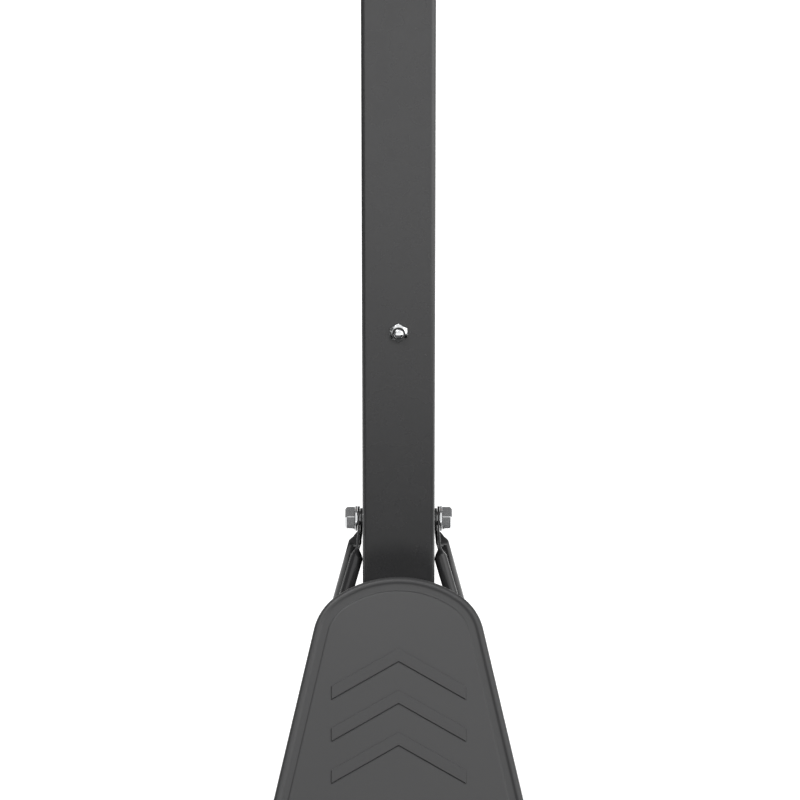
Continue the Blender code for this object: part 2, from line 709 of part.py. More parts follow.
def strut_upper(side, ear_x, splay, bend_foot):
    """Flattened upper end, from its tip to the start of the round tube."""
    lean = bend_foot.y / (STRUT_BOLT_Z - bend_foot.z)
    down = Vector((0, lean, -1)).normalized()
    width_way = Vector((0, 1, lean)).normalized()
    thick_way = RIGHT
    bolt = Vector((side * ear_x, 0, STRUT_BOLT_Z))
    rings = flat_end(-down, bolt, width_way, thick_way)
    per_drop = Vector((0, lean, -1))
    flat = bolt + EAR_FLAT * per_drop
    narrow = bolt + EAR_END * per_drop + side * EAR_SPLAY * RIGHT
    start = bolt + EAR_BEND * per_drop + side * splay * RIGHT
    rings.append(section(flat, width_way, thick_way, EAR_W / 2, EAR_T / 2, FLAT))
    rings.append(section(narrow, width_way, thick_way, EAR_W / 2, EAR_T / 2, FLAT))
    axis = (bend_foot - start).normalized()
    tube_way = squared(width_way, axis)
    tube_thick = squared(thick_way, axis)
    rings += flared(narrow, start, width_way, tube_way, thick_way, tube_thick)
    return rings, start, axis, tube_way


def strut_tube(start, end, axis, start_way, end_way, reference):
    """Round sections along the tube, turned little by little from one end's frame to the other."""
    rings = []
    for step in range(1, 5):
        share = step / 4
        way = squared(start_way.lerp(end_way, share), axis)
        thick = axis.cross(way)
        if thick.dot(reference) < 0:
            thick = -thick
        rings.append(section(start.lerp(end, share), way, thick, STRUT_D / 2, STRUT_D / 2, TUBE))
    return rings


def rear_bend(side):
    return Vector((side * REAR_FOOT_X, REAR_FOOT_Y, DECK_H + GAP + EAR_T / 2))


def rear_lug_seat(side):
    """Bolt centre of a rear brace's lower lug, on the deck."""
    bend = rear_bend(side)
    away = Vector((side * (REAR_FOOT_X - REAR_EAR_X), REAR_FOOT_Y, 0)).normalized()
    return Vector((bend.x, bend.y, DECK_H)) + LUG_HOLE_REACH * away


def front_lug_seat(side):
    """Bolt centre of a front brace's lower lug, on the tongue's side wall."""
    return Vector((side * TONGUE_HALF_W, FRONT_FOOT_Y, FRONT_LUG_Z))


def build_rear_strut(name, side):
    bend = rear_bend(side)
    rings, start, axis, tube_way = strut_upper(side, REAR_EAR_X, REAR_TUBE_SPLAY, bend)
    away = Vector((side * (REAR_FOOT_X - REAR_EAR_X), REAR_FOOT_Y, 0)).normalized()
    lug_way = Vector((-away.y * side, away.x * side, 0))
    end = bend - LUG_BEND * axis
    end_way = squared(lug_way, axis)
    rings += strut_tube(start, end, axis, tube_way, end_way, RIGHT)
    lug = rear_lug_seat(side) + (GAP + EAR_T / 2) * UP
    last_thick = axis.cross(end_way)
    thick_way = UP if last_thick.dot(UP) * last_thick.dot(RIGHT) > 0 else -UP
    flat = bend + LUG_BEND / 2 * away
    swell = (end + flat) / 2 + EAR_T / 2 * UP
    rings.append(section(swell, end_way, thick_way, EAR_W / 2 - EAR_T / 2, EAR_T, 3))
    rings.append(section(flat, lug_way, thick_way, EAR_W / 2, EAR_T / 2, FLAT))
    rings += flat_end(away, lug, lug_way, thick_way)[::-1]
    strut = ring_loft("strut_rear_" + name, rings, coated_steel)
    bolt = Vector((side * REAR_EAR_X, 0, STRUT_BOLT_Z))
    drilled(strut, M16_D / 2 + HOLE_PLAY, bolt - EAR_W * RIGHT / 2, bolt + EAR_W * RIGHT / 2)
    drilled(strut, M10_D / 2 + HOLE_PLAY, lug - EAR_W * UP / 2, lug + EAR_W * UP / 2, COARSE)
    return strut


def build_front_strut(name, side):
    lug = front_lug_seat(side) + side * (GAP + EAR_T / 2) * RIGHT
    lean = lug.y / (STRUT_BOLT_Z - lug.z)
    up_lug = Vector((0, -lean, 1))
    bend = lug + FRONT_LUG_L * up_lug + side * STRUT_D / 4 * RIGHT
    rings, start, axis, tube_way = strut_upper(side, FRONT_EAR_X, FRONT_TUBE_SPLAY, bend)
    end = bend
    rings += strut_tube(start, end, axis, tube_way, tube_way, RIGHT)
    width_way = Vector((0, 1, lean)).normalized()
    narrow = lug + FRONT_LUG_FLAT * up_lug
    between = ((EAR_W + STRUT_D) / 4, (EAR_T + STRUT_D) / 4)
    rings.append(section((end + narrow) / 2, width_way, RIGHT, *between, 3))
    rings.append(section(narrow, width_way, RIGHT, EAR_W / 2, EAR_T / 2, FLAT))
    rings += flat_end(-up_lug.normalized(), lug, width_way, RIGHT)[::-1]
    strut = ring_loft("strut_front_" + name, rings, coated_steel)
    bolt = Vector((side * FRONT_EAR_X, 0, STRUT_BOLT_Z))
    drilled(strut, M16_D / 2 + HOLE_PLAY, bolt - EAR_W * RIGHT / 2, bolt + EAR_W * RIGHT / 2)
    drilled(strut, M10_D / 2 + HOLE_PLAY, lug - EAR_W * RIGHT / 2, lug + EAR_W * RIGHT / 2, COARSE)
    return strut


def build_foot_bolts(name, side):
    size = (M10_FLATS, M10_HEAD, M10_D)
    lift = EAR_T + 2 * GAP
    length = FOOT_BOLT_L - GAP
    rear = hex_bolt("foot_bolt_rear_" + name, rear_lug_seat(side) + lift * UP, -UP, RIGHT, size, length)
    front_seat = front_lug_seat(side) + side * lift * RIGHT
    front = hex_bolt("foot_bolt_front_" + name, front_seat, -side * RIGHT, AHEAD, size, length)
    return [rear, front]


def build_axle():
    tip = WHEEL_X + WHEEL_W / 2 + 2 * GAP
    seat = (-tip, WHEEL_Y, WHEEL_Z)
    length = 2 * tip + 2 * GAP + M12_NUT + THREAD_SHOW
    axle = hex_bolt("wheel_axle", seat, RIGHT, AHEAD, (M12_FLATS, M12_HEAD, AXLE_D), length)
    nut_place = frame_at((tip + GAP, WHEEL_Y, WHEEL_Z), RIGHT, AHEAD)
    return [axle, hex_nut("axle_nut", M12_FLATS, M12_NUT, AXLE_D / 2 + GAP, nut_place)]


def build_wheel(name, side):
    place = frame_at((side * WHEEL_X, WHEEL_Y, WHEEL_Z), side * RIGHT, AHEAD)
    half, hub, bore = WHEEL_W / 2, HUB_D / 2, AXLE_D / 2 + GAP
    dish = HUB_D / 10
    web = [(hub, half), (hub - dish, half), (hub - dish, half / 3), (bore + dish, half / 3),
           (bore + dish, half), (bore, half)]
    profile = (web + [(radius, -height) for radius, height in reversed(web)])[::-1]
    hub_obj = screwed("hub_" + name, profile, ROUND, dark_plastic, place)
    rim, crown = hub + GAP, WHEEL_D / 2
    tread = [(crown, 0.45 * half), (crown - 0.14 * half, 0.8 * half), (crown - 0.5 * half, half), (rim, half)]
    profile = (tread + [(radius, -height) for radius, height in reversed(tread)])[::-1]
    tyre = screwed("tyre_" + name, profile, TYRE_SIDES, rubber, place)
    return [hub_obj, tyre]


def build_fill_plug():
    top = DECK_H + PLATEAU_RISE
    place = frame_at((WELL_X, WELL_Y, top + SEAL_T + 2 * GAP))
    shank = WELL_D / 2 - 3 * GAP
    flange = PLUG_FLANGE_D / 2
    steps = [(-PLUG_SHANK_L, shank - 2 * MM, plain), (2 * MM - PLUG_SHANK_L, shank, plain), (0, shank, plain),
             (0, flange, plain), (PLUG_FLANGE_T - 2 * MM, flange, plain),
             (PLUG_FLANGE_T, flange - 2 * MM, plain)]
    plug = turned("fill_plug", steps, dark_plastic, place, TYRE_SIDES)
    corner = (0.8 * flange, PLUG_GRIP_W / 2, PLUG_FLANGE_T + PLUG_GRIP_H)
    grip = box("grip", (-0.8 * flange, -PLUG_GRIP_W / 2, 0), corner, dark_plastic, place)
    union(plug, bevel(grip, 2 * MM))
    seal_place = frame_at((WELL_X, WELL_Y, top + GAP))
    return [plug, washer("plug_seal", WELL_D / 2, flange - 4 * MM, SEAL_T, rubber, seal_place)]


def build_knob():
    """Clamp knob: its spindle runs through the boss and stops just short of the mast."""
    reach = POLE_HALF + CLAMP_BOSS_L - MAST_HALF - GAP
    place = frame_at((0, -POLE_HALF - CLAMP_BOSS_L, CLAMP_Z), -AHEAD)
    spindle = M12_D / 2
    steps = [(-reach, spindle * 0.8, plain), (1 * MM - reach, spindle, plain), (KNOB_STAND, spindle, plain),
             (KNOB_STAND, KNOB_NECK_R, plain), (KNOB_STAND + 5 * MM, KNOB_NECK_R, plain),
             (KNOB_STAND + 2 * KNOB_LEAD, KNOB_R * 0.9, lobed), (KNOB_STAND + 3 * KNOB_LEAD, KNOB_R, lobed),
             (KNOB_STAND + KNOB_T, KNOB_R, lobed), (KNOB_STAND + KNOB_T + KNOB_LEAD, KNOB_R * 0.86, lobed)]
    return turned("lock_knob", steps, dark_plastic, place, KNOB_SIDES)


def build_mast():
    foot = MAST_FOOT_Z + GLIDE_FLANGE + GAP
    mast = square_tube("mast_tube", MAST_W, MAST_WALL, MAST_CORNER, MAST_TOP_Z - foot, coated_steel,
                       frame_at((0, 0, foot)))
    for z in (TRUSS_MAST_LOW_Z, TRUSS_MAST_HIGH_Z):
        drilled(mast, M12_D / 2 + HOLE_PLAY, (-MAST_W, 0, z), (MAST_W, 0, z))
    bore = MAST_HALF - MAST_WALL - MAST_PLAY
    flange = POLE_BORE - MAST_PLAY
    low, seat, high = MAST_FOOT_Z, MAST_FOOT_Z + GLIDE_FLANGE, MAST_FOOT_Z + GLIDE_SPIGOT
    snug = MAST_CORNER - MAST_WALL / 2
    steps = [(flange, low, MAST_CORNER), (flange, seat, MAST_CORNER), (bore, seat, snug),
             (bore, high - 2 * MM, snug), (bore - 2 * MM, high, snug)]
    glide = ring_loft("mast_glide", square_rings(steps), dark_plastic)
    top = MAST_TOP_Z + GAP
    steps = [(bore, top - CAP_SPIGOT, snug), (bore, top, snug), (MAST_HALF, top, MAST_CORNER),
             (MAST_HALF, top + CAP_THICK - 2 * MM, MAST_CORNER), (MAST_HALF - 2 * MM, top + CAP_THICK, snug)]
    cap = ring_loft("mast_cap", square_rings(steps), dark_plastic)
    return [mast, glide, cap]


def rounded_polygon(corners, radius, steps=3):
    """A convex polygon with its corners rounded by arcs of one radius, anticlockwise."""
    points = []
    count = len(corners)
    for i, corner in enumerate(corners):
        here = Vector(corner)
        before = (Vector(corners[i - 1]) - here).normalized()
        after = (Vector(corners[(i + 1) % count]) - here).normalized()
        half_angle = before.angle(after) / 2
        centre = here + (before + after).normalized() * radius / sin(half_angle)
        start = (here + before * radius / tan(half_angle)) - centre
        end = (here + after * radius / tan(half_angle)) - centre
        sweep = start.angle_signed(end)
        for step in range(steps + 1):
            turned_way = start.copy()
            turned_way.rotate(Matrix.Rotation(-sweep * step / steps, 2))
            points.append(tuple(centre + turned_way))
    return points


def circle(x, y, radius, sides=COARSE):
    angles = [2 * pi * i / sides for i in range(sides)]
    return [(x + radius * cos(a), y + radius * sin(a)) for a in angles]


def inset_triangle(corners, inset):
    """A triangle's corners moved in so that each side shifts by one distance."""
    moved = []
    for i, corner in enumerate(corners):
        here = Vector(corner)
        before = (Vector(corners[i - 1]) - here).normalized()
        after = (Vector(corners[(i + 1) % 3]) - here).normalized()
        half_angle = before.angle(after) / 2
        moved.append(tuple(here + (before + after).normalized() * inset / sin(half_angle)))
    return moved


def truss_pins():
    """Bolt centres of a truss bracket as (y, z): mast low, rail low, rail high, mast high."""
    rail_y = FRAME_Y + FRAME_W / 2
    return [(0, TRUSS_MAST_LOW_Z), (rail_y, TRUSS_RAIL_LOW_Z), (rail_y, TRUSS_RAIL_HIGH_Z),
            (0, TRUSS_MAST_HIGH_Z)]


def build_brackets(name, side):
    low_mast, low_rail, high_rail, high_mast = truss_pins()
    half = TRUSS_BAR / 2
    back, front = -half, low_rail[0] + FRAME_W / 2
    outline = [(back, low_mast[1] - half), (front, low_rail[1] - half), (front, high_rail[1] + half),
               (back, high_mast[1] + half)]
    corners = [(half / 2, low_mast[1]), (front - half, low_rail[1]), (half / 2, high_mast[1])]
    inner_low = inset_triangle(corners, half)
    inner_high = inset_triangle([(half, high_mast[1]), (front - half, low_rail[1]),
                                 (front - half, high_rail[1])], half)
    hole = M12_D / 2 + HOLE_PLAY
    loops = [rounded_polygon(outline, half * 0.9), rounded_polygon(inner_low, half / 2),
             rounded_polygon(inner_high, half / 2)]
    loops += [circle(y, z, hole) for y, z in truss_pins()]
    low = MAST_HALF + GAP if side > 0 else -MAST_HALF - GAP - TRUSS_T
    place = frame_at((0, 0, 0), RIGHT, AHEAD)
    return plate("bracket_" + name, loops, low, low + TRUSS_T, coated_steel, place)


def build_through_bolts():
    size = (M12_FLATS, M12_HEAD, M12_D)
    made = []
    mast_seat = MAST_HALF + TRUSS_T + 2 * GAP
    rail_seat = RAIL_IN_X + FRAME_W + GAP
    names = ("mast_bolt_lower", "rail_bolt_lower", "rail_bolt_upper", "mast_bolt_upper")
    pins = dict(zip(names, truss_pins()))
    for name, (y, z) in pins.items():
        seat = mast_seat if name.startswith("mast") else rail_seat
        length = 2 * seat + M12_NUT + THREAD_SHOW
        made.append(hex_bolt(name, (-seat, y, z), RIGHT, AHEAD, size, length, COARSE, 2 * seat, M12_NUT))
    return made


def frame_bar(name, start, along, across, length):
    place = frame_at(start, along, across)
    return square_tube(name, FRAME_W, FRAME_WALL, FRAME_CORNER, length, coated_steel, place)


def build_board_frame():
    y = FRAME_Y + FRAME_W / 2
    half_bar = FRAME_W / 2
    half_w = BOARD_W / 2
    low, high = BOARD_LOW_Z + half_bar, BOARD_HIGH_Z - half_bar
    inner_low, inner_high = low + half_bar + GAP, high - half_bar - GAP
    bars = [frame_bar("frame_bottom", (-half_w, y, low), RIGHT, AHEAD, BOARD_W),
            frame_bar("frame_top", (-half_w, y, high), RIGHT, AHEAD, BOARD_W)]
    for name, side in SIDES.items():
        bars.append(frame_bar("frame_" + name, (side * (half_w - half_bar), y, inner_low), UP, RIGHT,
                              inner_high - inner_low))
        rail = frame_bar("rail_" + name, (side * RAIL_X, y, inner_low), UP, RIGHT, inner_high - inner_low)
        for _, z in truss_pins()[1:3]:
            drilled(rail, M12_D / 2 + HOLE_PLAY, (side * RAIL_IN_X - FRAME_W * side, y, z),
                    (side * (RAIL_IN_X + 2 * FRAME_W), y, z), COARSE)
        for _, seat in mount_bolt_seats().items():
            if seat.x * side > 0:
                start, end = (seat.x, y - FRAME_W, seat.z), (seat.x, y + FRAME_W, seat.z)
                drilled(rail, M8_D / 2 + HOLE_PLAY, start, end, COARSE)
        bars.append(rail)
    return bars


def mount_bolt_seats():
    """Centres of the four bolts that hold the rim mount through the board to the rails."""
    y = MOUNT_Y + MOUNT_T
    seats = {}
    heights = {"upper": HOOP_Z + MOUNT_ABOVE - MOUNT_BOLT_IN, "lower": HOOP_Z - MOUNT_BELOW + MOUNT_BOLT_IN}
    for height, z in heights.items():
        for name, side in SIDES.items():
            seats["mount_bolt_" + height + "_" + name] = Vector((side * RAIL_X, y, z))
    return seats


def build_board():
    outline = rounded_rectangle(BOARD_W / 2, BOARD_H / 2, BOARD_CORNER, (0, BOARD_LOW_Z + BOARD_H / 2), 5)
    holes = [circle(-seat.x, seat.z, M8_D / 2 + HOLE_PLAY) for seat in mount_bolt_seats().values()]
    place = frame_at((0, 0, 0), AHEAD, -RIGHT)
    return plate("board_panel", [outline] + holes, BOARD_BACK_Y, BOARD_FACE_Y, board_sheet, place)


def build_mount_bolts():
    length = MOUNT_T + BOARD_T + FRAME_W + 4 * GAP + M8_HEAD + THREAD_SHOW
    nut_at = MOUNT_T + BOARD_T + FRAME_W + 4 * GAP
    made = []
    for name, seat in mount_bolt_seats().items():
        size = (M8_FLATS, M8_HEAD, M8_D)
        made.append(hex_bolt(name, seat + GAP * AHEAD, -AHEAD, RIGHT, size, length, COARSE, nut_at, M8_HEAD))
    return made


def build_rim_mount():
    """Back plate with its shelf and gussets; the spring bolts pass the shelf in slots."""
    low, high = HOOP_Z - MOUNT_BELOW, HOOP_Z + MOUNT_ABOVE
    outline = rounded_rectangle(MOUNT_W / 2, (high - low) / 2, MOUNT_CORNER, (0, (high + low) / 2))
    holes = [circle(-seat.x, seat.z, M8_D / 2 + HOLE_PLAY) for seat in mount_bolt_seats().values()]
    mount = plate("rim_mount", [outline] + holes, MOUNT_Y, MOUNT_Y + MOUNT_T, rim_paint,
                  frame_at((0, 0, 0), AHEAD, -RIGHT))
    root = MOUNT_Y + MOUNT_T / 2
    shelf_half = (SHELF_Y - root) / 2
    shelf_flat = rounded_rectangle(SHELF_W / 2, shelf_half, MOUNT_T / 4, (0, root + shelf_half))
    slots = []
    for side in SIDES.values():
        centre = (side * SPRING_X, SPRING_Y)
        slots.append(rounded_rectangle(M8_D / 2 + 2 * HOLE_PLAY, SLOT_L / 2, M8_D / 2, centre))
    shelf = plate("shelf", [shelf_flat] + slots, SHELF_Z - MOUNT_T, SHELF_Z, rim_paint)
    gussets = []
    for side in SIDES.values():
        inner = side * (SHELF_W / 2 - GUSSET_T / 2)
        corner = SHELF_Z - MOUNT_T / 2
        triangle = [(root, corner), (root, corner - SHELF_D), (SHELF_Y - MOUNT_T, corner)]
        gussets.append(plate("gusset", [triangle], inner - GUSSET_T / 2, inner + GUSSET_T / 2, rim_paint,
                             frame_at((0, 0, 0), RIGHT, AHEAD)))
    return union(mount, shelf, *gussets)


def build_rim_bracket():
    """Channel-shaped plate from the shelf to the hoop, cut to the hoop's outline."""
    z_low, z_high = HOOP_Z - TONGUE_PLATE_T / 2, HOOP_Z + TONGUE_PLATE_T / 2
    half = TONGUE_PLATE_W / 2
    back = MOUNT_Y + MOUNT_T + TONGUE_PLATE_BACK
    reach = HOOP_Y - HOOP_R * cos(radians(32))
    wide = HOOP_R * sin(radians(32))
    outline = [(-half, back), (half, back), (half, SHELF_Y), (wide, reach), (-wide, reach), (-half, SHELF_Y)]
    bracket = plate("rim_bracket", [outline], z_low, z_high, rim_paint)
    hoop_space = cylinder("hoop_space", HOOP_R + HOOP_ROD / 2 + GAP, (0, HOOP_Y, HOOP_Z - HOOP_ROD),
                          (0, HOOP_Y, HOOP_Z + HOOP_ROD), rim_paint, 4 * ROUND)
    for side in SIDES.values():
        edge = side * (half - TONGUE_PLATE_T / 2)
        front = HOOP_Y - hypot(HOOP_R + HOOP_ROD, edge) + HOOP_ROD
        lip = [(back, z_low + TONGUE_PLATE_T / 2), (back, z_low - TONGUE_PLATE_FLANGE / 2),
               (SHELF_Y, z_low - TONGUE_PLATE_FLANGE), (front, z_low - TONGUE_PLATE_FLANGE / 2),
               (front, z_low + TONGUE_PLATE_T / 2)]
        union(bracket, plate("flange", [lip], edge - TONGUE_PLATE_T / 2, edge + TONGUE_PLATE_T / 2, rim_paint,
                             frame_at((0, 0, 0), RIGHT, AHEAD)))
    cut(bracket, hoop_space)
    for side in SIDES.values():
        drilled(bracket, M8_D / 2 + HOLE_PLAY, (side * SPRING_X, SPRING_Y, HOOP_Z - HOOP_ROD),
                (side * SPRING_X, SPRING_Y, HOOP_Z + HOOP_ROD), COARSE)
    return bracket


def build_hoop():
    bpy.ops.mesh.primitive_torus_add(major_segments=2 * ROUND, minor_segments=COARSE, major_radius=HOOP_R,
                                     minor_radius=HOOP_ROD / 2, location=(0, HOOP_Y, HOOP_Z))
    hoop = bpy.context.object
    hoop.name = "hoop_ring"
    hoop.users_collection[0].objects.unlink(hoop)
    parts.objects.link(hoop)
    hoop.data.materials.append(rim_paint)
    hoop.data.shade_smooth()
    return hoop


def build_spring_set(name, side):
    """A bolt that hangs from the rim bracket through the shelf, with its coil spring below."""
    head_z = HOOP_Z + TONGUE_PLATE_T / 2 + GAP
    shelf_low = SHELF_Z - MOUNT_T
    seat_at = head_z - (shelf_low - SPRING_L - 2 * GAP)
    r, half = M8_D / 2, M8_FLATS / 2
    nut_at = seat_at + SPRING_SEAT_T
    end = nut_at + M8_HEAD
    steps = [(-M8_HEAD, half * CHAMFER, plain), (-M8_HEAD * 0.8, half, hexed), (0, half, hexed), (0, r, plain),
             (seat_at, r, plain), (seat_at, SPRING_SEAT_D / 2, plain), (nut_at, SPRING_SEAT_D / 2, plain),
             (nut_at, half, hexed), (end, half, hexed), (end, r, plain), (end + 1 * MM, r * 0.8, plain)]
    place = frame_at((side * SPRING_X, SPRING_Y, head_z), -UP, RIGHT)
    bolt = turned("spring_bolt_" + name, steps, steel, place, COARSE)
    return [bolt, coil("rim_spring_" + name, Vector((side * SPRING_X, SPRING_Y, shelf_low - GAP - SPRING_L)))]


def coil(name, foot):
    """One open coil from seat to seat; its ends stand straight for one wire diameter."""
    per_turn = COIL_POINTS
    wire_r = SPRING_WIRE / 2
    climb = SPRING_L - 2 * SPRING_WIRE
    pitch = climb / SPRING_TURNS
    points = [Vector((SPRING_R, 0, 0))]
    for i in range(SPRING_TURNS * per_turn + 1):
        a = 2 * pi * i / per_turn
        points.append(Vector((SPRING_R * cos(a), SPRING_R * sin(a), SPRING_WIRE + pitch * i / per_turn)))
    points.append(Vector((SPRING_R, 0, SPRING_L)))
    spans = [(p - q).length for i, p in enumerate(points) for q in points[i + per_turn - 1:]]
    print(name, "least gap between turns, mm:", round((min(spans) - 2 * wire_r) / MM, 2))
    curve = bpy.data.curves.new(name, "CURVE")
    curve.dimensions = "3D"
    curve.bevel_depth = wire_r
    curve.bevel_resolution = 1
    curve.use_fill_caps = True
    spline = curve.splines.new("POLY")
    spline.points.add(len(points) - 1)
    for point, co in zip(spline.points, points):
        point.co = (*co, 1)
    curve.materials.append(steel)
    obj = bpy.data.objects.new(name, curve)
    obj.location = foot
    parts.objects.link(obj)
    return obj


def build_net():
    """The net's envelope: an open tapered sleeve that hangs from the hoop."""
    top_r = HOOP_R + NET_T / 2
    top = -HOOP_ROD / 2 - GAP
    waist = ((top_r + NET_LOW_R) / 2 - NET_WAIST, top - NET_L / 2)
    outer = [(top_r, top), waist, (NET_LOW_R, top - NET_L)]
    inner = [(radius - NET_T, z) for radius, z in reversed(outer)]
    return screwed("net", outer + inner, NET_SIDES, cord, frame_at((0, HOOP_Y, HOOP_Z)))


def body(name, location, members):
    """An empty on the body's joint axis that carries its pieces."""
    empty = bpy.data.objects.new(name + "_body", None)
    empty.location = location
    parts.objects.link(empty)
    for member in members:
        member.parent = empty
        member.matrix_parent_inverse = Matrix.Translation(location).inverted()


def build_stand():
    fixed = [build_base_tank(), build_pole()] + build_pole_fittings() + build_stop_bolt() + build_axle()
    for name, side in SIDES.items():
        fixed += build_strut_bolts(name, side)
        fixed += [build_rear_strut(name, side), build_front_strut(name, side)]
        fixed += build_foot_bolts(name, side)
        body("wheel_" + name, (side * WHEEL_X, WHEEL_Y, WHEEL_Z), build_wheel(name, side))
    body("stand", (0, 0, 0), fixed)
    body("fill_plug", (WELL_X, WELL_Y, DECK_H), build_fill_plug())
    body("lock_knob", (0, -POLE_HALF, CLAMP_Z), [build_knob()])


def build_upper():
    carried = build_mast() + build_through_bolts() + build_board_frame() + build_mount_bolts()
    carried += [build_board(), build_rim_mount()]
    swinging = [build_rim_bracket(), build_hoop(), build_net()]
    for name, side in SIDES.items():
        carried.append(build_brackets(name, side))
        swinging += build_spring_set(name, side)
    body("mast", (0, 0, MAST_FOOT_Z), carried)
    body("rim", (0, SHELF_Y, SHELF_Z), swinging)


clear_scene()
parts = collection("basketball_stand")
cutters = collection("cutters")
coated_steel = paint("coated_steel", (0.085, 0.085, 0.088), 0.42, 0.1)
plastic = paint("base_plastic", (0.1, 0.1, 0.102), 0.5)
dark_plastic = paint("fitting_plastic", (0.03, 0.03, 0.032), 0.45)
steel = paint("zinc_steel", (0.6, 0.6, 0.6), 0.3, 1.0)
rubber = paint("rubber", (0.025, 0.025, 0.025), 0.8)
board_sheet = paint("board_sheet", (0.75, 0.77, 0.78), 0.2)
rim_paint = paint("rim_paint", (0.75, 0.13, 0.03), 0.35)
cord = paint("net_cord", (0.85, 0.85, 0.83), 0.9)
build_stand()
build_upper()
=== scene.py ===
"""Portable basketball stand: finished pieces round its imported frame, on a plain stage.

Metres, +Z up, +Y over the court, left and right as seen from behind the stand, looking along +Y.
Tables of points are in millimetres, and mm() turns them into metres.
"""

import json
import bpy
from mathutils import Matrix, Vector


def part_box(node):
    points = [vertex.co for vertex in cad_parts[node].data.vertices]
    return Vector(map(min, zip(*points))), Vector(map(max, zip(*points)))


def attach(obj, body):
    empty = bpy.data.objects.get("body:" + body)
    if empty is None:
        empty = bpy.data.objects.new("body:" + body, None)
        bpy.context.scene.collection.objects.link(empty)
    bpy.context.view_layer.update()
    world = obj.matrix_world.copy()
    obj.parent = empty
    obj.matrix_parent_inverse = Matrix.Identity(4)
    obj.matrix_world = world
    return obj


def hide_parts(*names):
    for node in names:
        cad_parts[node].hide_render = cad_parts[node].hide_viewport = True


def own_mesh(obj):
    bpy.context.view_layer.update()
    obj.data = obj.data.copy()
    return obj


bl_info = {
    "name": "Basketball stand",
    "version": (1, 0, 0),
    "blender": (4, 5, 0),
    "location": "View3D > Sidebar > Stand",
    "description": "Builds the finished pieces of a portable basketball stand and a plain stage",
    "category": "Add Mesh",
}

from collections import namedtuple
from math import cos, pi, radians, sin, tan

import bmesh
import bpy
from bpy.props import FloatProperty, FloatVectorProperty, IntProperty, PointerProperty
from mathutils import Matrix, Vector

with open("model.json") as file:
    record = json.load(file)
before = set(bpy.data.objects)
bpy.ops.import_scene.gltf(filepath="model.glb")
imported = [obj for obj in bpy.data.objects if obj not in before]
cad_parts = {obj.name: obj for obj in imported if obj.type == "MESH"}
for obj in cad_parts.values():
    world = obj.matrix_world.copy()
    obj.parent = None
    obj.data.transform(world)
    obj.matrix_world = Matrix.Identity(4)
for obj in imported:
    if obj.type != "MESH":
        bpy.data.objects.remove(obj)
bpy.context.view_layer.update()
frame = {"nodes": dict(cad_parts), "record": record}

MM = 0.001
UP, RIGHT, AHEAD = Vector((0, 0, 1)), Vector((1, 0, 0)), Vector((0, 1, 0))
SIDES = {"left": -1, "right": 1}


def middle(node):
    low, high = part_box(node)
    return (low + high) / 2


# Places read from the frame
POLE_LOW, POLE_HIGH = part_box("pole_lower")
MAST_LOW, MAST_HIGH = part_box("mast_tube")
HOOP_LOW, HOOP_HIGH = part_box("hoop_ring")
BOARD_LOW, BOARD_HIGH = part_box("board_panel")
TANK_LOW, TANK_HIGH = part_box("base_tank")
POLE_HALF, MAST_HALF = POLE_HIGH.x, MAST_HIGH.x
HOOP_MIDDLE = middle("hoop_ring")
HOOP_ROD = HOOP_HIGH.z - HOOP_LOW.z
HOOP_R = (HOOP_HIGH.x - HOOP_LOW.x - HOOP_ROD) / 2
BOARD_MIDDLE_Z = (BOARD_LOW.z + BOARD_HIGH.z) / 2
PLUG_MIDDLE = middle("fill_plug")
STRUT_BOLT_Z = middle("strut_bolt_left").z
STOP_BOLT_Z = middle("stop_nut").z - 2 * MM
KNOB_Z = middle("lock_knob").z
SPRING_X = middle("rim_spring_right").x
SPRING_Y = middle("spring_bolt_right").y


def length(name, description, default):
    return FloatProperty(name=name, description=description, default=default * MM, unit="LENGTH")


def angle(name, description, default):
    return FloatProperty(name=name, description=description, default=radians(default), subtype="ANGLE")


def tint(name, description, default):
    return FloatVectorProperty(name=name, description=description, default=default, subtype="COLOR", size=3)


class BaseSizes(bpy.types.PropertyGroup):
    """Sizes of the shield face and the tank behind it."""
    slope: angle("Face slope", "Slope of the shield face above the floor", 60)
    top_y: length("Arch top Y", "Place of the arch's top along Y", -94.2)
    top_z: length("Arch top height", "Height of the arch's top", 399.4)
    arch_r: length("Arch radius", "Radius of the arch's crown", 120)
    arch_half: angle("Arch half angle", "Half the angle that the crown spans", 34.2)
    shoulder_r: length("Shoulder radius", "Radius between crown and side", 60)
    flare: angle("Side flare", "Lean of the shield's sides", 13.06)
    thick: length("Shield thickness", "Depth of the shield's edge", 20)
    panel_inset: length("Panel inset", "Distance from the outline to the raised panel", 13.9)
    panel_rise: length("Panel rise", "Height of the raised panel", 1.6)
    chevrons: IntProperty(name="Chevrons", description="Number of raised chevrons", default=3, min=0)
    chevron_half: length("Chevron half width", "Half the width of a chevron", 74)
    chevron_drop: length("Chevron drop", "Fall from a chevron's peak to its ends", 42)
    chevron_bar: length("Chevron bar", "Width of a chevron's bar along the slope", 15)
    chevron_pitch: length("Chevron pitch", "Distance from one chevron to the next", 46)
    chevron_top: length("Chevron start", "From the arch's top to the first peak", 78)
    chevron_rise: length("Chevron rise", "Height of a chevron over the panel", 2)
    grain: length("Moulding voxel", "Edge of the cells that round the tank's joins", 5)


class SteelSizes(bpy.types.PropertyGroup):
    """Sizes of the pole, the mast and the braces."""
    pole_corner: length("Pole corner", "Outer corner radius of the pole", 6)
    pole_wall: length("Pole wall", "Wall of the pole", 2.5)
    mast_corner: length("Mast corner", "Outer corner radius of the mast", 5)
    mast_wall: length("Mast wall", "Wall of the mast", 2)
    strut_d: length("Brace diameter", "Outer diameter of a brace's tube", 14.5)
    ear_w: length("Ear width", "Width of a brace's flattened end", 23)
    ear_t: length("Ear thickness", "Thickness of a brace's flattened end", 2.6)


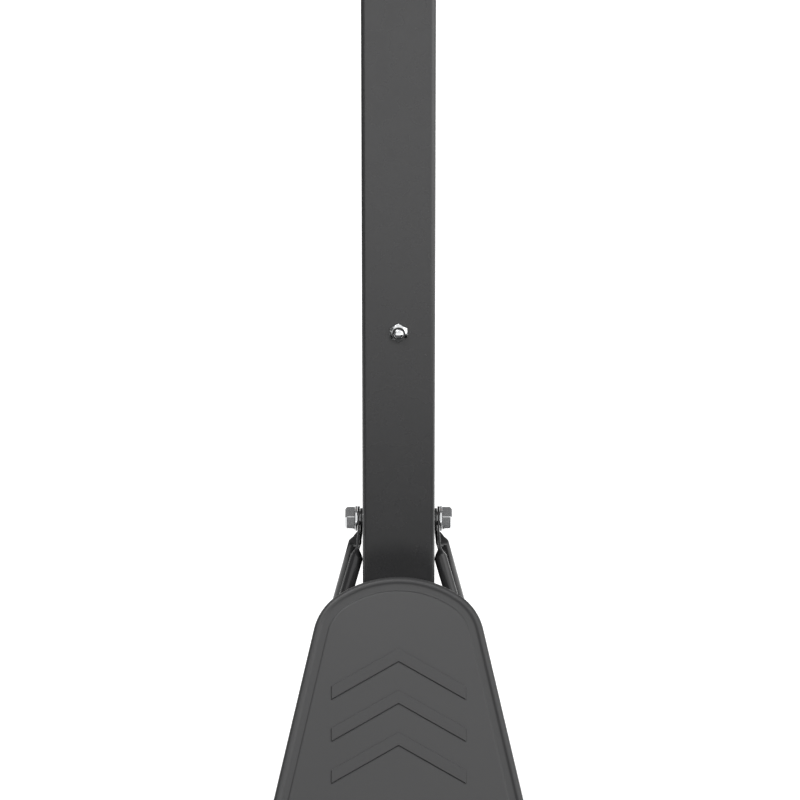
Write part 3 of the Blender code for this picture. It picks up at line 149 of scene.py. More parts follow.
class Finishes(bpy.types.PropertyGroup):
    """Colours of the stand's finishes."""
    powder_coat: tint("Powder coat", "Colour of the pole and frame", (0.042, 0.042, 0.043))
    braces: tint("Braces", "Colour of the braces", (0.026, 0.026, 0.027))
    moulding: tint("Moulding", "Colour of the base tank", (0.045, 0.045, 0.046))
    fittings: tint("Fittings", "Colour of the small plastic parts", (0.02, 0.02, 0.021))
    rim: tint("Rim", "Colour of the rim and its mount", (0.68, 0.11, 0.02))
    board: tint("Board", "Colour of the board's sheet", (0.72, 0.74, 0.75))


def base_sizes():
    return bpy.context.scene.stand_base


def steel_sizes():
    return bpy.context.scene.stand_steel


def finishes():
    return bpy.context.scene.stand_finishes


def mm(points, lift=0.0):
    """Points from millimetres, with the second value of each counted from a place in metres."""
    return [(p[0] * MM, lift + p[1] * MM, *(v * MM for v in p[2:])) for p in points]


def feed(tree, socket, value):
    if isinstance(value, bpy.types.NodeSocket):
        tree.links.new(value, socket)
    else:
        socket.default_value = value


def wired(tree, kind, inputs=(), **settings):
    """The outputs of a new node, whose inputs take values or other nodes' outputs."""
    made = tree.nodes.new(kind)
    for key, value in settings.items():
        setattr(made, key, value)
    for key, value in dict(inputs).items():
        feed(tree, made.inputs[key], value)
    return made.outputs


def shade(colour, factor=1.0):
    return (*(min(1, c * factor) for c in colour), 1)


class Recipe:
    """A material whose nodes are built one on another round its shader."""

    def __init__(self, name):
        self.material = bpy.data.materials.new(name)
        self.material.use_nodes = True
        self.tree = self.material.node_tree
        self.shader = self.tree.nodes["Principled BSDF"]
        self.place = self.add("ShaderNodeTexCoord")["Object"]

    def add(self, kind, inputs=(), **settings):
        return wired(self.tree, kind, inputs, **settings)

    def set(self, **values):
        for key, value in values.items():
            feed(self.tree, self.shader.inputs[key.replace("_", " ")], value)

    def noise(self, scale, detail=2.0, roughness=0.5):
        inputs = {"Vector": self.place, "Scale": scale, "Detail": detail, "Roughness": roughness}
        return self.add("ShaderNodeTexNoise", inputs)["Fac"]

    def remap(self, value, low, high, to_low, to_high):
        inputs = {"Value": value, "From Min": low, "From Max": high, "To Min": to_low, "To Max": to_high}
        return self.add("ShaderNodeMapRange", inputs)["Result"]

    def drift(self, value, centre, reach):
        """A value that wanders round a centre with a noise."""
        return self.remap(value, 0.1, 0.9, centre - reach, centre + reach)

    def blend(self, factor, first, second):
        return self.add("ShaderNodeMix", {"Factor": factor, 6: first, 7: second}, data_type="RGBA")[2]

    def tones(self, factor, colour, low, high):
        """A colour that wanders between two brightnesses of itself."""
        return self.blend(factor, shade(colour, low), shade(colour, high))

    def maths(self, operation, *values):
        return self.add("ShaderNodeMath", dict(enumerate(values)), operation=operation)["Value"]

    def bump(self, height, distance, strength=1.0, under=None):
        inputs = {"Height": height, "Distance": distance * MM, "Strength": strength}
        if under is not None:
            inputs["Normal"] = under
        return self.add("ShaderNodeBump", inputs)["Normal"]


def powder_coat(name, colour, gloss=0.27):
    """Satin powder coat: faint orange peel and a slow drift in colour and gloss."""
    mix = Recipe(name)
    mix.set(Base_Color=mix.tones(mix.noise(6, 3), colour, 0.9, 1.1))
    mix.set(Roughness=mix.drift(mix.noise(40, 4), gloss, 0.05))
    mix.set(Normal=mix.bump(mix.noise(420, 2), 0.006, 0.25))
    return mix.material


def moulded_plastic(name, colour, gloss=0.42, grain=900, depth=0.03):
    """Blow-moulded polyethylene: fine grain, soft mottling and slightly uneven gloss."""
    mix = Recipe(name)
    mix.set(Base_Color=mix.tones(mix.noise(9, 4, 0.6), colour, 0.96, 1.04))
    mix.set(Roughness=mix.drift(mix.noise(55, 3), gloss, 0.05))
    fine = mix.bump(mix.noise(grain, 3, 0.7), depth, 0.6)
    mix.set(Normal=mix.bump(mix.noise(14, 2), 0.08, 0.3, fine))
    return mix.material


def bright_zinc():
    """Bright zinc plate: light turning marks and a faint cloudiness."""
    mix = Recipe("bright_zinc")
    mix.set(Base_Color=mix.tones(mix.noise(220, 3), (0.78, 0.79, 0.8), 0.9, 1.04), Metallic=1.0)
    mix.set(Roughness=mix.remap(mix.noise(700, 3), 0.3, 0.7, 0.1, 0.2))
    mix.set(Normal=mix.bump(mix.noise(1400, 2), 0.01, 0.4))
    return mix.material


def tread_rubber():
    """Dusty black rubber."""
    mix = Recipe("tread_rubber")
    dust = mix.noise(60, 4, 0.6)
    mix.set(Base_Color=mix.blend(dust, (0.016, 0.016, 0.016, 1), (0.04, 0.039, 0.037, 1)))
    mix.set(Roughness=mix.remap(dust, 0.3, 0.7, 0.7, 0.88))
    mix.set(Normal=mix.bump(mix.noise(1100, 2), 0.04, 0.6))
    return mix.material


BORDER_IN = 55 * MM
PRINT_LINE = 32 * MM
TARGET_HALF_W, TARGET_HALF_H = 295 * MM, 210 * MM
TARGET_Z = HOOP_MIDDLE.z + 240 * MM
PRINT_INK = (0.035, 0.035, 0.037, 1)


def board_sheet():
    """White sheet with a printed border and target, both from distances on the board."""
    mix = Recipe("board_sheet")
    split = mix.add("ShaderNodeSeparateXYZ", {"Vector": mix.place})
    across = mix.maths("ABSOLUTE", split["X"])

    def line(half_x, half_z, centre_z, inner, outer):
        rise = mix.maths("ABSOLUTE", mix.maths("SUBTRACT", split["Z"], centre_z))
        past_x, past_z = mix.maths("SUBTRACT", across, half_x), mix.maths("SUBTRACT", rise, half_z)
        reach = mix.maths("MAXIMUM", past_x, past_z)
        past, short = mix.maths("GREATER_THAN", reach, inner), mix.maths("LESS_THAN", reach, outer)
        return mix.maths("MULTIPLY", past, short)

    half_z = BOARD_HIGH.z - BOARD_MIDDLE_Z
    border = line(BOARD_HIGH.x - BORDER_IN, half_z - BORDER_IN, BOARD_MIDDLE_Z, 0.0, PRINT_LINE)
    target = line(TARGET_HALF_W, TARGET_HALF_H, TARGET_Z, -PRINT_LINE, 0.0)
    sheet = mix.tones(mix.noise(5, 3), finishes().board, 0.97, 1.02)
    mix.set(Base_Color=mix.blend(mix.maths("MAXIMUM", border, target), sheet, PRINT_INK))
    mix.set(Roughness=mix.drift(mix.noise(30, 3), 0.24, 0.07))
    mix.set(Normal=mix.bump(mix.noise(14, 2), 0.15, 0.2), Coat_Weight=0.15)
    return mix.material


def net_cord():
    """Braided cord: pale flecks and a fine cell pattern, drawn out along the net's height."""
    mix = Recipe("net_cord")
    fleck = mix.noise(260, 4, 0.7)
    mix.set(Base_Color=mix.blend(fleck, (0.62, 0.61, 0.58, 1), (0.84, 0.83, 0.8, 1)), Roughness=0.85)
    place = mix.add("ShaderNodeMapping", {"Vector": mix.place, "Scale": (1, 1, 0.6)})["Vector"]
    braid = mix.add("ShaderNodeTexVoronoi", {"Vector": place, "Scale": 620.0})["Distance"]
    mix.set(Normal=mix.bump(braid, 0.5, 0.8), Sheen_Weight=0.3)
    return mix.material


MADE = {}
MAKERS = {
    "powder_coat": lambda: powder_coat("powder_coat", finishes().powder_coat),
    "brace_coat": lambda: powder_coat("brace_coat", finishes().braces, 0.21),
    "rim_paint": lambda: powder_coat("rim_paint", finishes().rim, 0.28),
    "moulding": lambda: moulded_plastic("tank_moulding", finishes().moulding),
    "fittings": lambda: moulded_plastic("fitting_moulding", finishes().fittings, 0.38, 700, 0.02),
    "zinc": bright_zinc,
    "rubber": tread_rubber,
    "board": board_sheet,
    "cord": net_cord,
}


def finish(name):
    """The material of that name, built on first use."""
    if name not in MADE:
        MADE[name] = MAKERS[name]()
    return MADE[name]


def at(origin=(0, 0, 0), along=UP, across=RIGHT):
    """A place whose local Z runs along one direction and local X across it."""
    z = Vector(along).normalized()
    if abs(z.dot(Vector(across))) > 0.99:
        across = AHEAD
    x = (Vector(across) - Vector(across).dot(z) * z).normalized()
    return Matrix.Translation(origin) @ Matrix((x, z.cross(x), z)).transposed().to_4x4()


def linked(name, data):
    made = bpy.data.objects.new(name, data)
    bpy.context.scene.collection.objects.link(made)
    return made


def solid(name, bm, material):
    """An object at the origin from a bmesh."""
    mesh = bpy.data.meshes.new(name)
    bm.to_mesh(mesh)
    bm.free()
    mesh.materials.append(material)
    return linked(name, mesh)


def meshed(name, bm, material, place=None, sharp=32):
    """A smooth-shaded piece from a bmesh, with its place in its mesh."""
    if place:
        bm.transform(place)
    obj = solid(name, bm, finish(material))
    obj.data.shade_smooth()
    obj.data.set_sharp_from_angle(angle=radians(sharp))
    return obj


def ring_loft(name, rings, material, place=None, closed=False, sharp=32):
    """A skin over rings of equal count, capped at its ends or closed into a tube."""
    bm = bmesh.new()
    loops = [[bm.verts.new(point) for point in ring] for ring in rings]
    count = len(loops[0])
    for low, high in zip(loops, loops[1:] + loops[:1] if closed else loops[1:]):
        for i in range(count):
            j = (i + 1) % count
            bm.faces.new((low[i], low[j], high[j], high[i]))
    if not closed:
        bm.faces.new(loops[0][::-1])
        bm.faces.new(loops[-1])
    bmesh.ops.recalc_face_normals(bm, faces=bm.faces)
    return meshed(name, bm, material, place, sharp)


def lathed(name, profile, material, place=None, sides=64, reach=None, closed=True, sharp=32):
    """A turned shape from (radius, height) points; reach may shape the outline by angle and radius."""
    angles = [2 * pi * i / sides for i in range(sides)]
    rings = []
    for radius, height in profile:
        spread = [reach(a, radius) if reach else radius for a in angles]
        rings.append([(r * cos(a), r * sin(a), height) for r, a in zip(spread, angles)])
    return ring_loft(name, rings, material, place, closed, sharp)


def baked(obj):
    """A new mesh of the object as its modifiers or bevel leave it."""
    return bpy.data.meshes.new_from_object(obj.evaluated_get(bpy.context.evaluated_depsgraph_get()))


WELD = 1e-6


def swept(name, dimensions, lines, cyclic, **settings):
    """A welded bmesh from a curve over lines of points."""
    curve = bpy.data.curves.new(name, "CURVE")
    curve.dimensions = dimensions
    for key, value in settings.items():
        setattr(curve, key, value)
    for line in lines:
        spline = curve.splines.new("POLY")
        spline.points.add(len(line) - 1)
        spline.use_cyclic_u = cyclic
        for point, co in zip(spline.points, line):
            point.co = (*co, 1)
    guide = linked(name, curve)
    mesh = baked(guide)
    bm = bmesh.new()
    bm.from_mesh(mesh)
    bpy.data.meshes.remove(mesh)
    bpy.data.objects.remove(guide)
    bmesh.ops.remove_doubles(bm, verts=bm.verts, dist=WELD)
    bmesh.ops.recalc_face_normals(bm, faces=bm.faces)
    return bm


def level(outline, z):
    """A flat outline at one height."""
    return [(x, y, z) for x, y in outline]


def outlined(name, loops, low, high, material, place=None):
    """A flat outline with its holes, filled between two heights."""
    flat = [level(loop, 0) for loop in loops]
    bm = swept(name, "2D", flat, True, fill_mode="BOTH", extrude=(high - low) / 2)
    bm.transform(Matrix.Translation((0, 0, (high + low) / 2)))
    return meshed(name, bm, material, place)


def rod(name, points, radius, material, place=None, sides=12, cyclic=False):
    """A round rod along points."""
    bm = swept(name, "3D", [points], cyclic, bevel_depth=radius, bevel_resolution=max(1, sides // 4 - 1),
               use_fill_caps=not cyclic)
    return meshed(name, bm, material, place, 50)


def softened(obj, width, segments=3, sharp=32):
    """Rounded edges from a live Bevel, with flat faces kept flat."""
    made = obj.modifiers.new("edges", "BEVEL")
    made.width = width
    made.segments = segments
    made.limit_method = "ANGLE"
    made.angle_limit = radians(sharp)
    made.harden_normals = True
    return obj


def applied(obj):
    """The object with its modifiers made part of its mesh."""
    mesh = baked(obj)
    old = obj.data
    obj.modifiers.clear()
    obj.data = mesh
    bpy.data.meshes.remove(old)
    return obj


def edged(obj, width):
    """Small bevelled edges on a flat plate, made part of its mesh and shaded face by face."""
    softened(obj, width, 2).modifiers["edges"].harden_normals = False
    applied(obj).data.shade_flat()
    return obj


def boolean(obj, operation, *others):
    for other in others:
        made = obj.modifiers.new("combine", "BOOLEAN")
        made.operation = operation
        made.solver = "EXACT"
        made.object = other
    applied(obj)
    for other in others:
        bpy.data.objects.remove(other)


def joined(name, *objects):
    """Several finished meshes as one piece."""
    bm = bmesh.new()
    for obj in objects:
        bm.from_mesh(applied(obj).data)
    made = solid(name, bm, objects[0].data.materials[0])
    for obj in objects:
        bpy.data.objects.remove(obj)
    return made


STEPPED_INPUTS = {"Piece": "Object", "Count": "Int", "Turn": "Float", "Step": "Vector",
                  "Finish": "Material"}


def stepped_tree():
    """Geometry nodes that repeat a piece, each copy turned about Z and moved on by one step."""
    tree = bpy.data.node_groups.new("stepped_copies", "GeometryNodeTree")
    tree.is_modifier = True
    for name, kind in STEPPED_INPUTS.items():
        tree.interface.new_socket(name, in_out="INPUT", socket_type="NodeSocket" + kind)
    tree.interface.new_socket("Geometry", in_out="OUTPUT", socket_type="NodeSocketGeometry")
    given = wired(tree, "NodeGroupInput")
    index = wired(tree, "GeometryNodeInputIndex")[0]
    turn = wired(tree, "ShaderNodeMath", {0: index, 1: given["Turn"]}, operation="MULTIPLY")[0]
    move = wired(tree, "ShaderNodeVectorMath", {0: given["Step"], "Scale": index}, operation="SCALE")[0]
    angles = wired(tree, "ShaderNodeCombineXYZ", {"Z": turn})[0]
    points = wired(tree, "GeometryNodePoints", {"Count": given["Count"], "Position": move})[0]
    source = wired(tree, "GeometryNodeObjectInfo", {"Object": given["Piece"]})["Geometry"]
    inputs = {"Points": points, "Instance": source, "Rotation": angles}
    copies = wired(tree, "GeometryNodeInstanceOnPoints", inputs)[0]
    real = wired(tree, "GeometryNodeRealizeInstances", {"Geometry": copies})[0]
    painted = wired(tree, "GeometryNodeSetMaterial", {"Geometry": real, "Material": given["Finish"]})[0]
    wired(tree, "NodeGroupOutput", {0: painted})
    return tree


def repeated(name, piece, count, turn=0.0, step=(0, 0, 0), place=None):
    """Copies of a piece made by the stepped tree, as one plain mesh; the piece itself goes."""
    tree = bpy.data.node_groups.get("stepped_copies") or stepped_tree()
    applied(piece)
    host = linked(name, bpy.data.meshes.new(name))
    made = host.modifiers.new("copies", "NODES")
    made.node_group = tree
    values = {"Piece": piece, "Count": count, "Turn": turn, "Step": step, "Finish": piece.data.materials[0]}
    for item in tree.interface.items_tree:
        if item.in_out == "INPUT":
            made[item.identifier] = values[item.name]
    applied(host)
    bpy.data.objects.remove(piece)
    if place:
        host.data.transform(place)
    return host


def ringed(name, piece, count, place=None):
    """Copies of a piece spread evenly round Z."""
    return repeated(name, piece, count, 2 * pi / count, place=place)


def dress(piece, body, slot, *nodes):
    """Rides a body and stands for the given nodes, which it hides; its slot argument is not used."""
    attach(piece, body)
    if nodes:
        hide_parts(*nodes)
    return piece


def rounded_rectangle(half_x, half_y, radius, centre=(0, 0), steps=8):
    points = []
    for quarter, (side_x, side_y) in enumerate(((1, 1), (-1, 1), (-1, -1), (1, -1))):
        x = centre[0] + side_x * (half_x - radius)
        y = centre[1] + side_y * (half_y - radius)
        for step in range(steps + 1):
            a = (quarter + step / steps) * pi / 2
            points.append((x + radius * cos(a), y + radius * sin(a)))
    return points


def square_rings(steps):
    """Rounded squares stacked along Z, from (half width, height, corner radius)."""
    return [level(rounded_rectangle(half, half, corner), z) for half, z, corner in steps]


def slab(name, half_x, back, front, corner, profile, material="moulding", place=None, steps=12, **loft):
    """Rounded rectangles between two places along Y, stacked along Z from (inset, height)."""
    half_y, centre = (front - back) / 2, (0, (front + back) / 2)
    rings = [level(rounded_rectangle(half_x - inset, half_y - inset, corner - inset, centre, steps), z)
             for inset, z in profile]
    return ring_loft(name, rings, material, place, **loft)


TUBE_LIP = 0.3 * MM
LEAST_CORNER = 0.4 * MM


def square_tube(name, width, wall, corner, start, reach, along=UP, across=RIGHT):
    half, inner = width / 2, width / 2 - wall
    inner_corner = max(corner - wall, LEAST_CORNER)
    lip, lip_corner = half - TUBE_LIP, corner - TUBE_LIP
    steps = [(lip, 0, lip_corner), (half, TUBE_LIP, corner), (half, reach - TUBE_LIP, corner),
             (lip, reach, lip_corner), (inner, reach, inner_corner), (inner, 0, inner_corner)]
    return ring_loft(name, square_rings(steps), "powder_coat", at(start, along, across), closed=True)


CORNER = 1 / cos(pi / 6)
CHAMFER_LEAD, CHAMFER_SLOPE = 0.94, 1.9
CHAMFER_STEPS, CHAMFER_END = (0, 0.25, 0.5, 0.75, 1.01), 1.01
HEX_SIDES, HEX_SHARP = 72, 24
NUT_SLACK = 0.2 * MM


def hexagon(flats, height, lead, slope=CHAMFER_SLOPE, faceted=False, both=False):
    """Profile of a hexagon from its top down, and its outline by angle. A negative radius is the depth
    below an end that is turned off by a cone, or by a flat chamfer on each side where it is faceted."""
    half = flats / 2
    deep = ((1 if faceted else CORNER) - lead) * half / slope
    top = [(-deep * s - 1e-9, height - deep * s) for s in CHAMFER_STEPS]
    low = [(depth, height - z) for depth, z in reversed(top)]

    def reach(a, radius):
        if radius >= 0:
            return radius
        edge = half / cos((a + pi / 6) % (pi / 3) - pi / 6)
        grown = lead * half - radius * slope
        return edge * min(1, grown / half) if faceted else min(edge, grown)

    return top + (low if both else [(-deep * CHAMFER_END, 0)]), reach


Thread = namedtuple("Thread", "flats head shank edge")
M8 = Thread(13 * MM, 5.5 * MM, 8 * MM, 0.25 * MM)
M10 = Thread(16 * MM, 6.5 * MM, 10 * MM, 0.25 * MM)
M12 = Thread(19 * MM, 8 * MM, 12 * MM, 0.3 * MM)
M12_STOP = M12._replace(shank=11.4 * MM)
M16 = Thread(24 * MM, 11 * MM, 16 * MM, 0.5 * MM)


def hex_bolt(name, seat, along, size, reach, across=RIGHT, lead=CHAMFER_LEAD, slope=CHAMFER_SLOPE,
             faceted=False, segments=2):
    """A hex bolt whose shank runs along the given way from the underside of its head."""
    inner, shank = 0.9 * lead * size.flats / 2, size.shank
    dish, tip = 0.6 * inner, 0.1 * shank
    band, outline = hexagon(size.flats, size.head, lead, slope, faceted)
    profile = [(dish, size.head + 0.12 * MM), (inner, size.head), *band, (inner, 0), (shank / 2, 0),
               (shank / 2, tip - reach), (0.4 * shank, -reach)]
    bolt = lathed(name, profile, "zinc", at(seat, -along, across), HEX_SIDES, outline, False, HEX_SHARP)
    return softened(bolt, size.edge, segments, HEX_SHARP)


def hex_nut(name, seat, along, size, height, across=RIGHT, slack=NUT_SLACK, lead=CHAMFER_LEAD, segments=2):
    """A hex nut with turned corners: it stands on its seat and rises along the given way."""
    bore = size.shank + slack
    mouth, entry = bore * 0.57, 0.08 * bore
    band, outline = hexagon(size.flats, height, lead, both=lead > 0.9)
    profile = [(bore / 2, height - entry), (mouth, height), *band, (mouth, 0), (bore / 2, entry)]
    nut = lathed(name, profile, "zinc", at(seat, along, across), HEX_SIDES, outline, True, HEX_SHARP)
    return softened(nut, size.edge, segments, HEX_SHARP)


def washer(name, seat, along, inner, outer, thickness, material="zinc"):
    edge = 0.25 * MM
    profile = [(outer - edge, thickness), (outer, thickness - edge), (outer, edge), (outer - edge, 0),
               (inner, 0), (inner, thickness)]
    return lathed(name, profile, material, at(seat, along))


def face_place():
    s = base_sizes()
    return at((0, s.top_y, s.top_z), (0, -sin(s.slope), cos(s.slope)))


def face_y(z):
    s = base_sizes()
    return s.top_y - (s.top_z - z) / tan(s.slope)


SHIELD_FOOT_Z = 30 * MM
CROWN_STEPS, SHOULDER_STEPS = 14, 12
SHIELD_PROFILE = ((4, -20), (0.6, -19), (-0.7, -17), (-1, -14), (-1, -2.2), (-0.8, -1.0), (-0.2, 0.2),
                  (0.7, 1.15), (1.9, 1.85), (3.1, 2.2), (4.3, 2.15), (5.2, 1.75), (6.0, 1.2), (6.8, 0.7),
                  (7.6, 0.4), (8.6, 0.3), (13.0, 0.3), (13.6, 0.3))
PANEL_STEP = ((0, 0), (0.5, 0.6), (1.0, 0.9), (1.7, 1))
CHEVRON_FOOT, CHEVRON_EDGE = -2 * MM, 1.3 * MM


def shield_outline(inset, height):
    """Arch, shoulders and flared sides at one inset, in the face's own plane."""
    s = base_sizes()
    floor = (s.top_z - SHIELD_FOOT_Z) / sin(s.slope)
    turn_end = pi / 2 - s.flare
    off = s.arch_r - s.shoulder_r
    shoulder_x, shoulder_y = off * sin(s.arch_half), -s.arch_r + off * cos(s.arch_half)
    r = s.shoulder_r - inset
    half = []
    for step in range(SHOULDER_STEPS + 1):
        a = turn_end + (s.arch_half - turn_end) * step / SHOULDER_STEPS
        half.append((shoulder_x + r * sin(a), shoulder_y + r * cos(a)))
    side_x, side_y = half[0]
    foot = [(side_x + (floor * share + side_y * share) * tan(s.flare), side_y + (-floor - side_y) * share)
            for share in (1, 0.75, 0.5, 0.25)]
    half = foot + half
    r = s.arch_r - inset
    for step in range(1, CROWN_STEPS + 1):
        a = s.arch_half * (1 - step / CROWN_STEPS)
        half.append((r * sin(a), -s.arch_r + r * cos(a)))
    return level(half + [(-x, y) for x, y in reversed(half[:-1])], height)


def build_shield():
    """Shield face: rounded bead round its edge, a flat band and the raised panel with its chevrons."""
    s = base_sizes()
    rings = [shield_outline(inset, height) for inset, height in mm(SHIELD_PROFILE)]
    low = SHIELD_PROFILE[-1][1] * MM
    for out, rise in PANEL_STEP:
        rings.append(shield_outline(s.panel_inset + out * s.panel_rise, low + rise * (s.panel_rise - low)))
    face = ring_loft("shield_face", rings, "moulding", face_place(), sharp=60)
    half, drop, bar = s.chevron_half, s.chevron_drop, s.chevron_bar
    outline = [(-half, -drop), (-half, -drop - bar), (0, -bar), (half, -drop - bar), (half, -drop), (0, 0)]
    chevron = outlined("chevron", [outline], CHEVRON_FOOT, s.panel_rise + s.chevron_rise, "moulding")
    softened(chevron, CHEVRON_EDGE, 4)
    chevron.data.transform(Matrix.Translation((0, -s.chevron_top, 0)))
    step = (0, -s.chevron_pitch, 0)
    bars = repeated("shield_chevrons", chevron, s.chevrons, step=step, place=face_place())
    dress(face, "stand", "base_plastic", "base_tank")
    dress(bars, "stand", "base_plastic")


SEAM = 3 * MM
DECK_HALF_W, DECK_CORNER, DECK_H = TANK_HIGH.x - SEAM, 110 * MM, 100 * MM
DECK_REAR_Y, DECK_FRONT_Y = TANK_LOW.y + SEAM, -70 * MM
TUB_EDGE, TONGUE_EDGE = 16 * MM, 9 * MM
TONGUE_HALF_W, TONGUE_H, TONGUE_REACH, TONGUE_CORNER = 112 * MM, 64 * MM, 212 * MM, 27 * MM
NOSE_HALF_W, NOSE_H, NOSE_BACK_Y, NOSE_CORNER = 50 * MM, 68 * MM, TONGUE_REACH - 36 * MM, 18 * MM
HUMP_FOOT_Z, HUMP_TOP_Z, HUMP_HALF, HUMP_EDGE, HUMP_CORNER = 30 * MM, 320 * MM, 49.3 * MM, 6 * MM, 10 * MM
HUMP_FLARE, HUMP_RAKE = 0.196, 0.25
RELAX = (0.5, 6)
PLATEAU_RISE, PLATEAU_IN, PLATEAU_CORNER = 9 * MM, 62 * MM, 79 * MM
TRAY_IN, TRAY_CORNER = 46 * MM, 56 * MM
RIB_COUNT, RIB_HALF, RIB_CORNER = 5, 7 * MM, 6.9 * MM
NECK_HALF_W, NECK_FOOT_Z, NECK_TOP_Z, NECK_EDGE = 34 * MM, 302 * MM, 374 * MM, 5 * MM
PARTING_LINE = ((3, 44), (-1.6, 45), (-2.4, 46), (-2.4, 48), (-1.6, 49), (3, 50))
SOCKET_LIP = ((46, 312, 9), (46, 323, 9), (44.6, 324.4, 8), (41, 324.4, 7), (40.3, 323, 6.3),
              (40.3, 312, 6.3))
BOSS = ((38, -69), (38, -2), (36, 0))
PLATEAU = ((-6, -29), (-6, -9), (0, -3), (3, 0))
TRAY = ((7, -7), (0, 0), (0, 20))
RIB = ((0, -9), (0, -4.5), (0.8, -2.8), (2.4, -2))


def rounded_profile(height, edge, steps=5):
    """(inset, z) of a slab whose top and bottom edges are quarter rounds."""
    low, high = [], []
    for step in range(steps + 1):
        a = pi / 2 * step / steps
        low.append((edge * (1 - sin(a)), edge * (1 - cos(a))))
        high.append((edge * (1 - cos(a)), height - edge * (1 - sin(a))))
    return low + high


def socket_hump(within):
    rings = []
    for z in (HUMP_FOOT_Z, HUMP_TOP_Z - HUMP_EDGE, HUMP_TOP_Z):
        edge = HUMP_EDGE if z == HUMP_TOP_Z else 0
        half = HUMP_HALF + HUMP_FLARE * (HUMP_TOP_Z - z) - edge
        back = face_y(z) + within
        front = HUMP_HALF + HUMP_RAKE * (HUMP_TOP_Z - z) - edge
        flat = rounded_rectangle(half, (front - back) / 2, HUMP_CORNER, (0, (front + back) / 2))
        rings.append(level(flat, z))
    return ring_loft("hump", rings, "moulding")


def build_tank():
    """Blow-moulded tank: tub, tongue, nose, socket hump and tray, melted together by a remesh."""
    s = base_sizes()
    within = s.thick / 2 / sin(s.slope)
    top = DECK_H + PLATEAU_RISE
    back, front = DECK_REAR_Y + PLATEAU_IN, face_y(DECK_H) - s.thick - PLATEAU_IN
    half = DECK_HALF_W - PLATEAU_IN
    tub = slab("tank_shell", DECK_HALF_W, DECK_REAR_Y, DECK_FRONT_Y, DECK_CORNER,
               rounded_profile(DECK_H, TUB_EDGE))
    tongue = slab("tongue", TONGUE_HALF_W, DECK_FRONT_Y - DECK_CORNER, TONGUE_REACH, TONGUE_CORNER,
                  rounded_profile(TONGUE_H, TONGUE_EDGE))
    nose = slab("nose", NOSE_HALF_W, NOSE_BACK_Y, TANK_HIGH.y, NOSE_CORNER,
                rounded_profile(NOSE_H, TONGUE_EDGE))
    plateau = slab("plateau", half, back, front, PLATEAU_CORNER, mm(PLATEAU, top))
    boolean(tub, "UNION", tongue, nose, socket_hump(within), plateau)
    back, front, half = back + TRAY_IN, front - TRAY_IN, half - TRAY_IN
    boolean(tub, "DIFFERENCE", slab("tray", half, back, front, TRAY_CORNER, mm(TRAY, top)))
    place = at((PLUG_MIDDLE.x, PLUG_MIDDLE.y, 0))
    boolean(tub, "UNION", lathed("boss", mm(BOSS, top), "moulding", place, 48, closed=False))
    melt = tub.modifiers.new("melt", "REMESH")
    melt.mode = "VOXEL"
    melt.voxel_size = s.grain * 1
    relax = tub.modifiers.new("relax", "SMOOTH")
    relax.factor, relax.iterations = RELAX
    applied(tub)
    tub.data.materials.clear()
    tub.data.materials.append(finish("moulding"))
    tub.data.shade_smooth()
    dress(tub, "stand", "base_plastic", "base_tank")
    rib = slab("rib", half - TRAY_IN, -RIB_HALF, RIB_HALF, RIB_CORNER, mm(RIB, top), sharp=60)
    space = (front - back) / (RIB_COUNT + 1)
    first = Matrix.Translation((0, back + space, 0))
    dress(repeated("tray_ribs", rib, RIB_COUNT, step=(0, space, 0), place=first), "stand", "base_plastic")
    seam = slab("parting_line", DECK_HALF_W, DECK_REAR_Y, DECK_FRONT_Y, DECK_CORNER, mm(PARTING_LINE),
                steps=24, closed=True, sharp=60)
    dress(seam, "stand", "base_plastic")
    side = [(face_y(NECK_FOOT_Z) + within, NECK_FOOT_Z), (-POLE_HALF, NECK_FOOT_Z),
            (-POLE_HALF, NECK_TOP_Z), (face_y(NECK_TOP_Z) + within, NECK_TOP_Z)]
    web = outlined("neck_web", [side], -NECK_HALF_W, NECK_HALF_W, "moulding", at(along=RIGHT, across=AHEAD))
    dress(softened(web, NECK_EDGE, 4), "stand", "base_plastic")
    lip = ring_loft("socket_lip", square_rings(mm(SOCKET_LIP)), "moulding", closed=True)
    dress(lip, "stand", "base_plastic")


KNOB_BOSS_R, KNOB_BORE_R, BOSS_CHAMFER = 15 * MM, 6.3 * MM, 1.2 * MM
COLLAR_FOOT = ((-0.6, 0), (0, 0.6), (0, 8), (-1, 10))
COLLAR_HEAD = ((-1, -12), (0, -10), (0, -4), (-0.9, -1.6))
COLLAR_SLACK, COLLAR_ROUND, COLLAR_BORE_CORNER, LIP_CORNER = 0.4 * MM, 3 * MM, 6.3 * MM, 5.4 * MM
LIP_ROUND, LIP_ROUND_CORNER, TOP_CORNER_LESS = 1 * MM, 6 * MM, 2 * MM
REST_GAP = 0.3 * MM


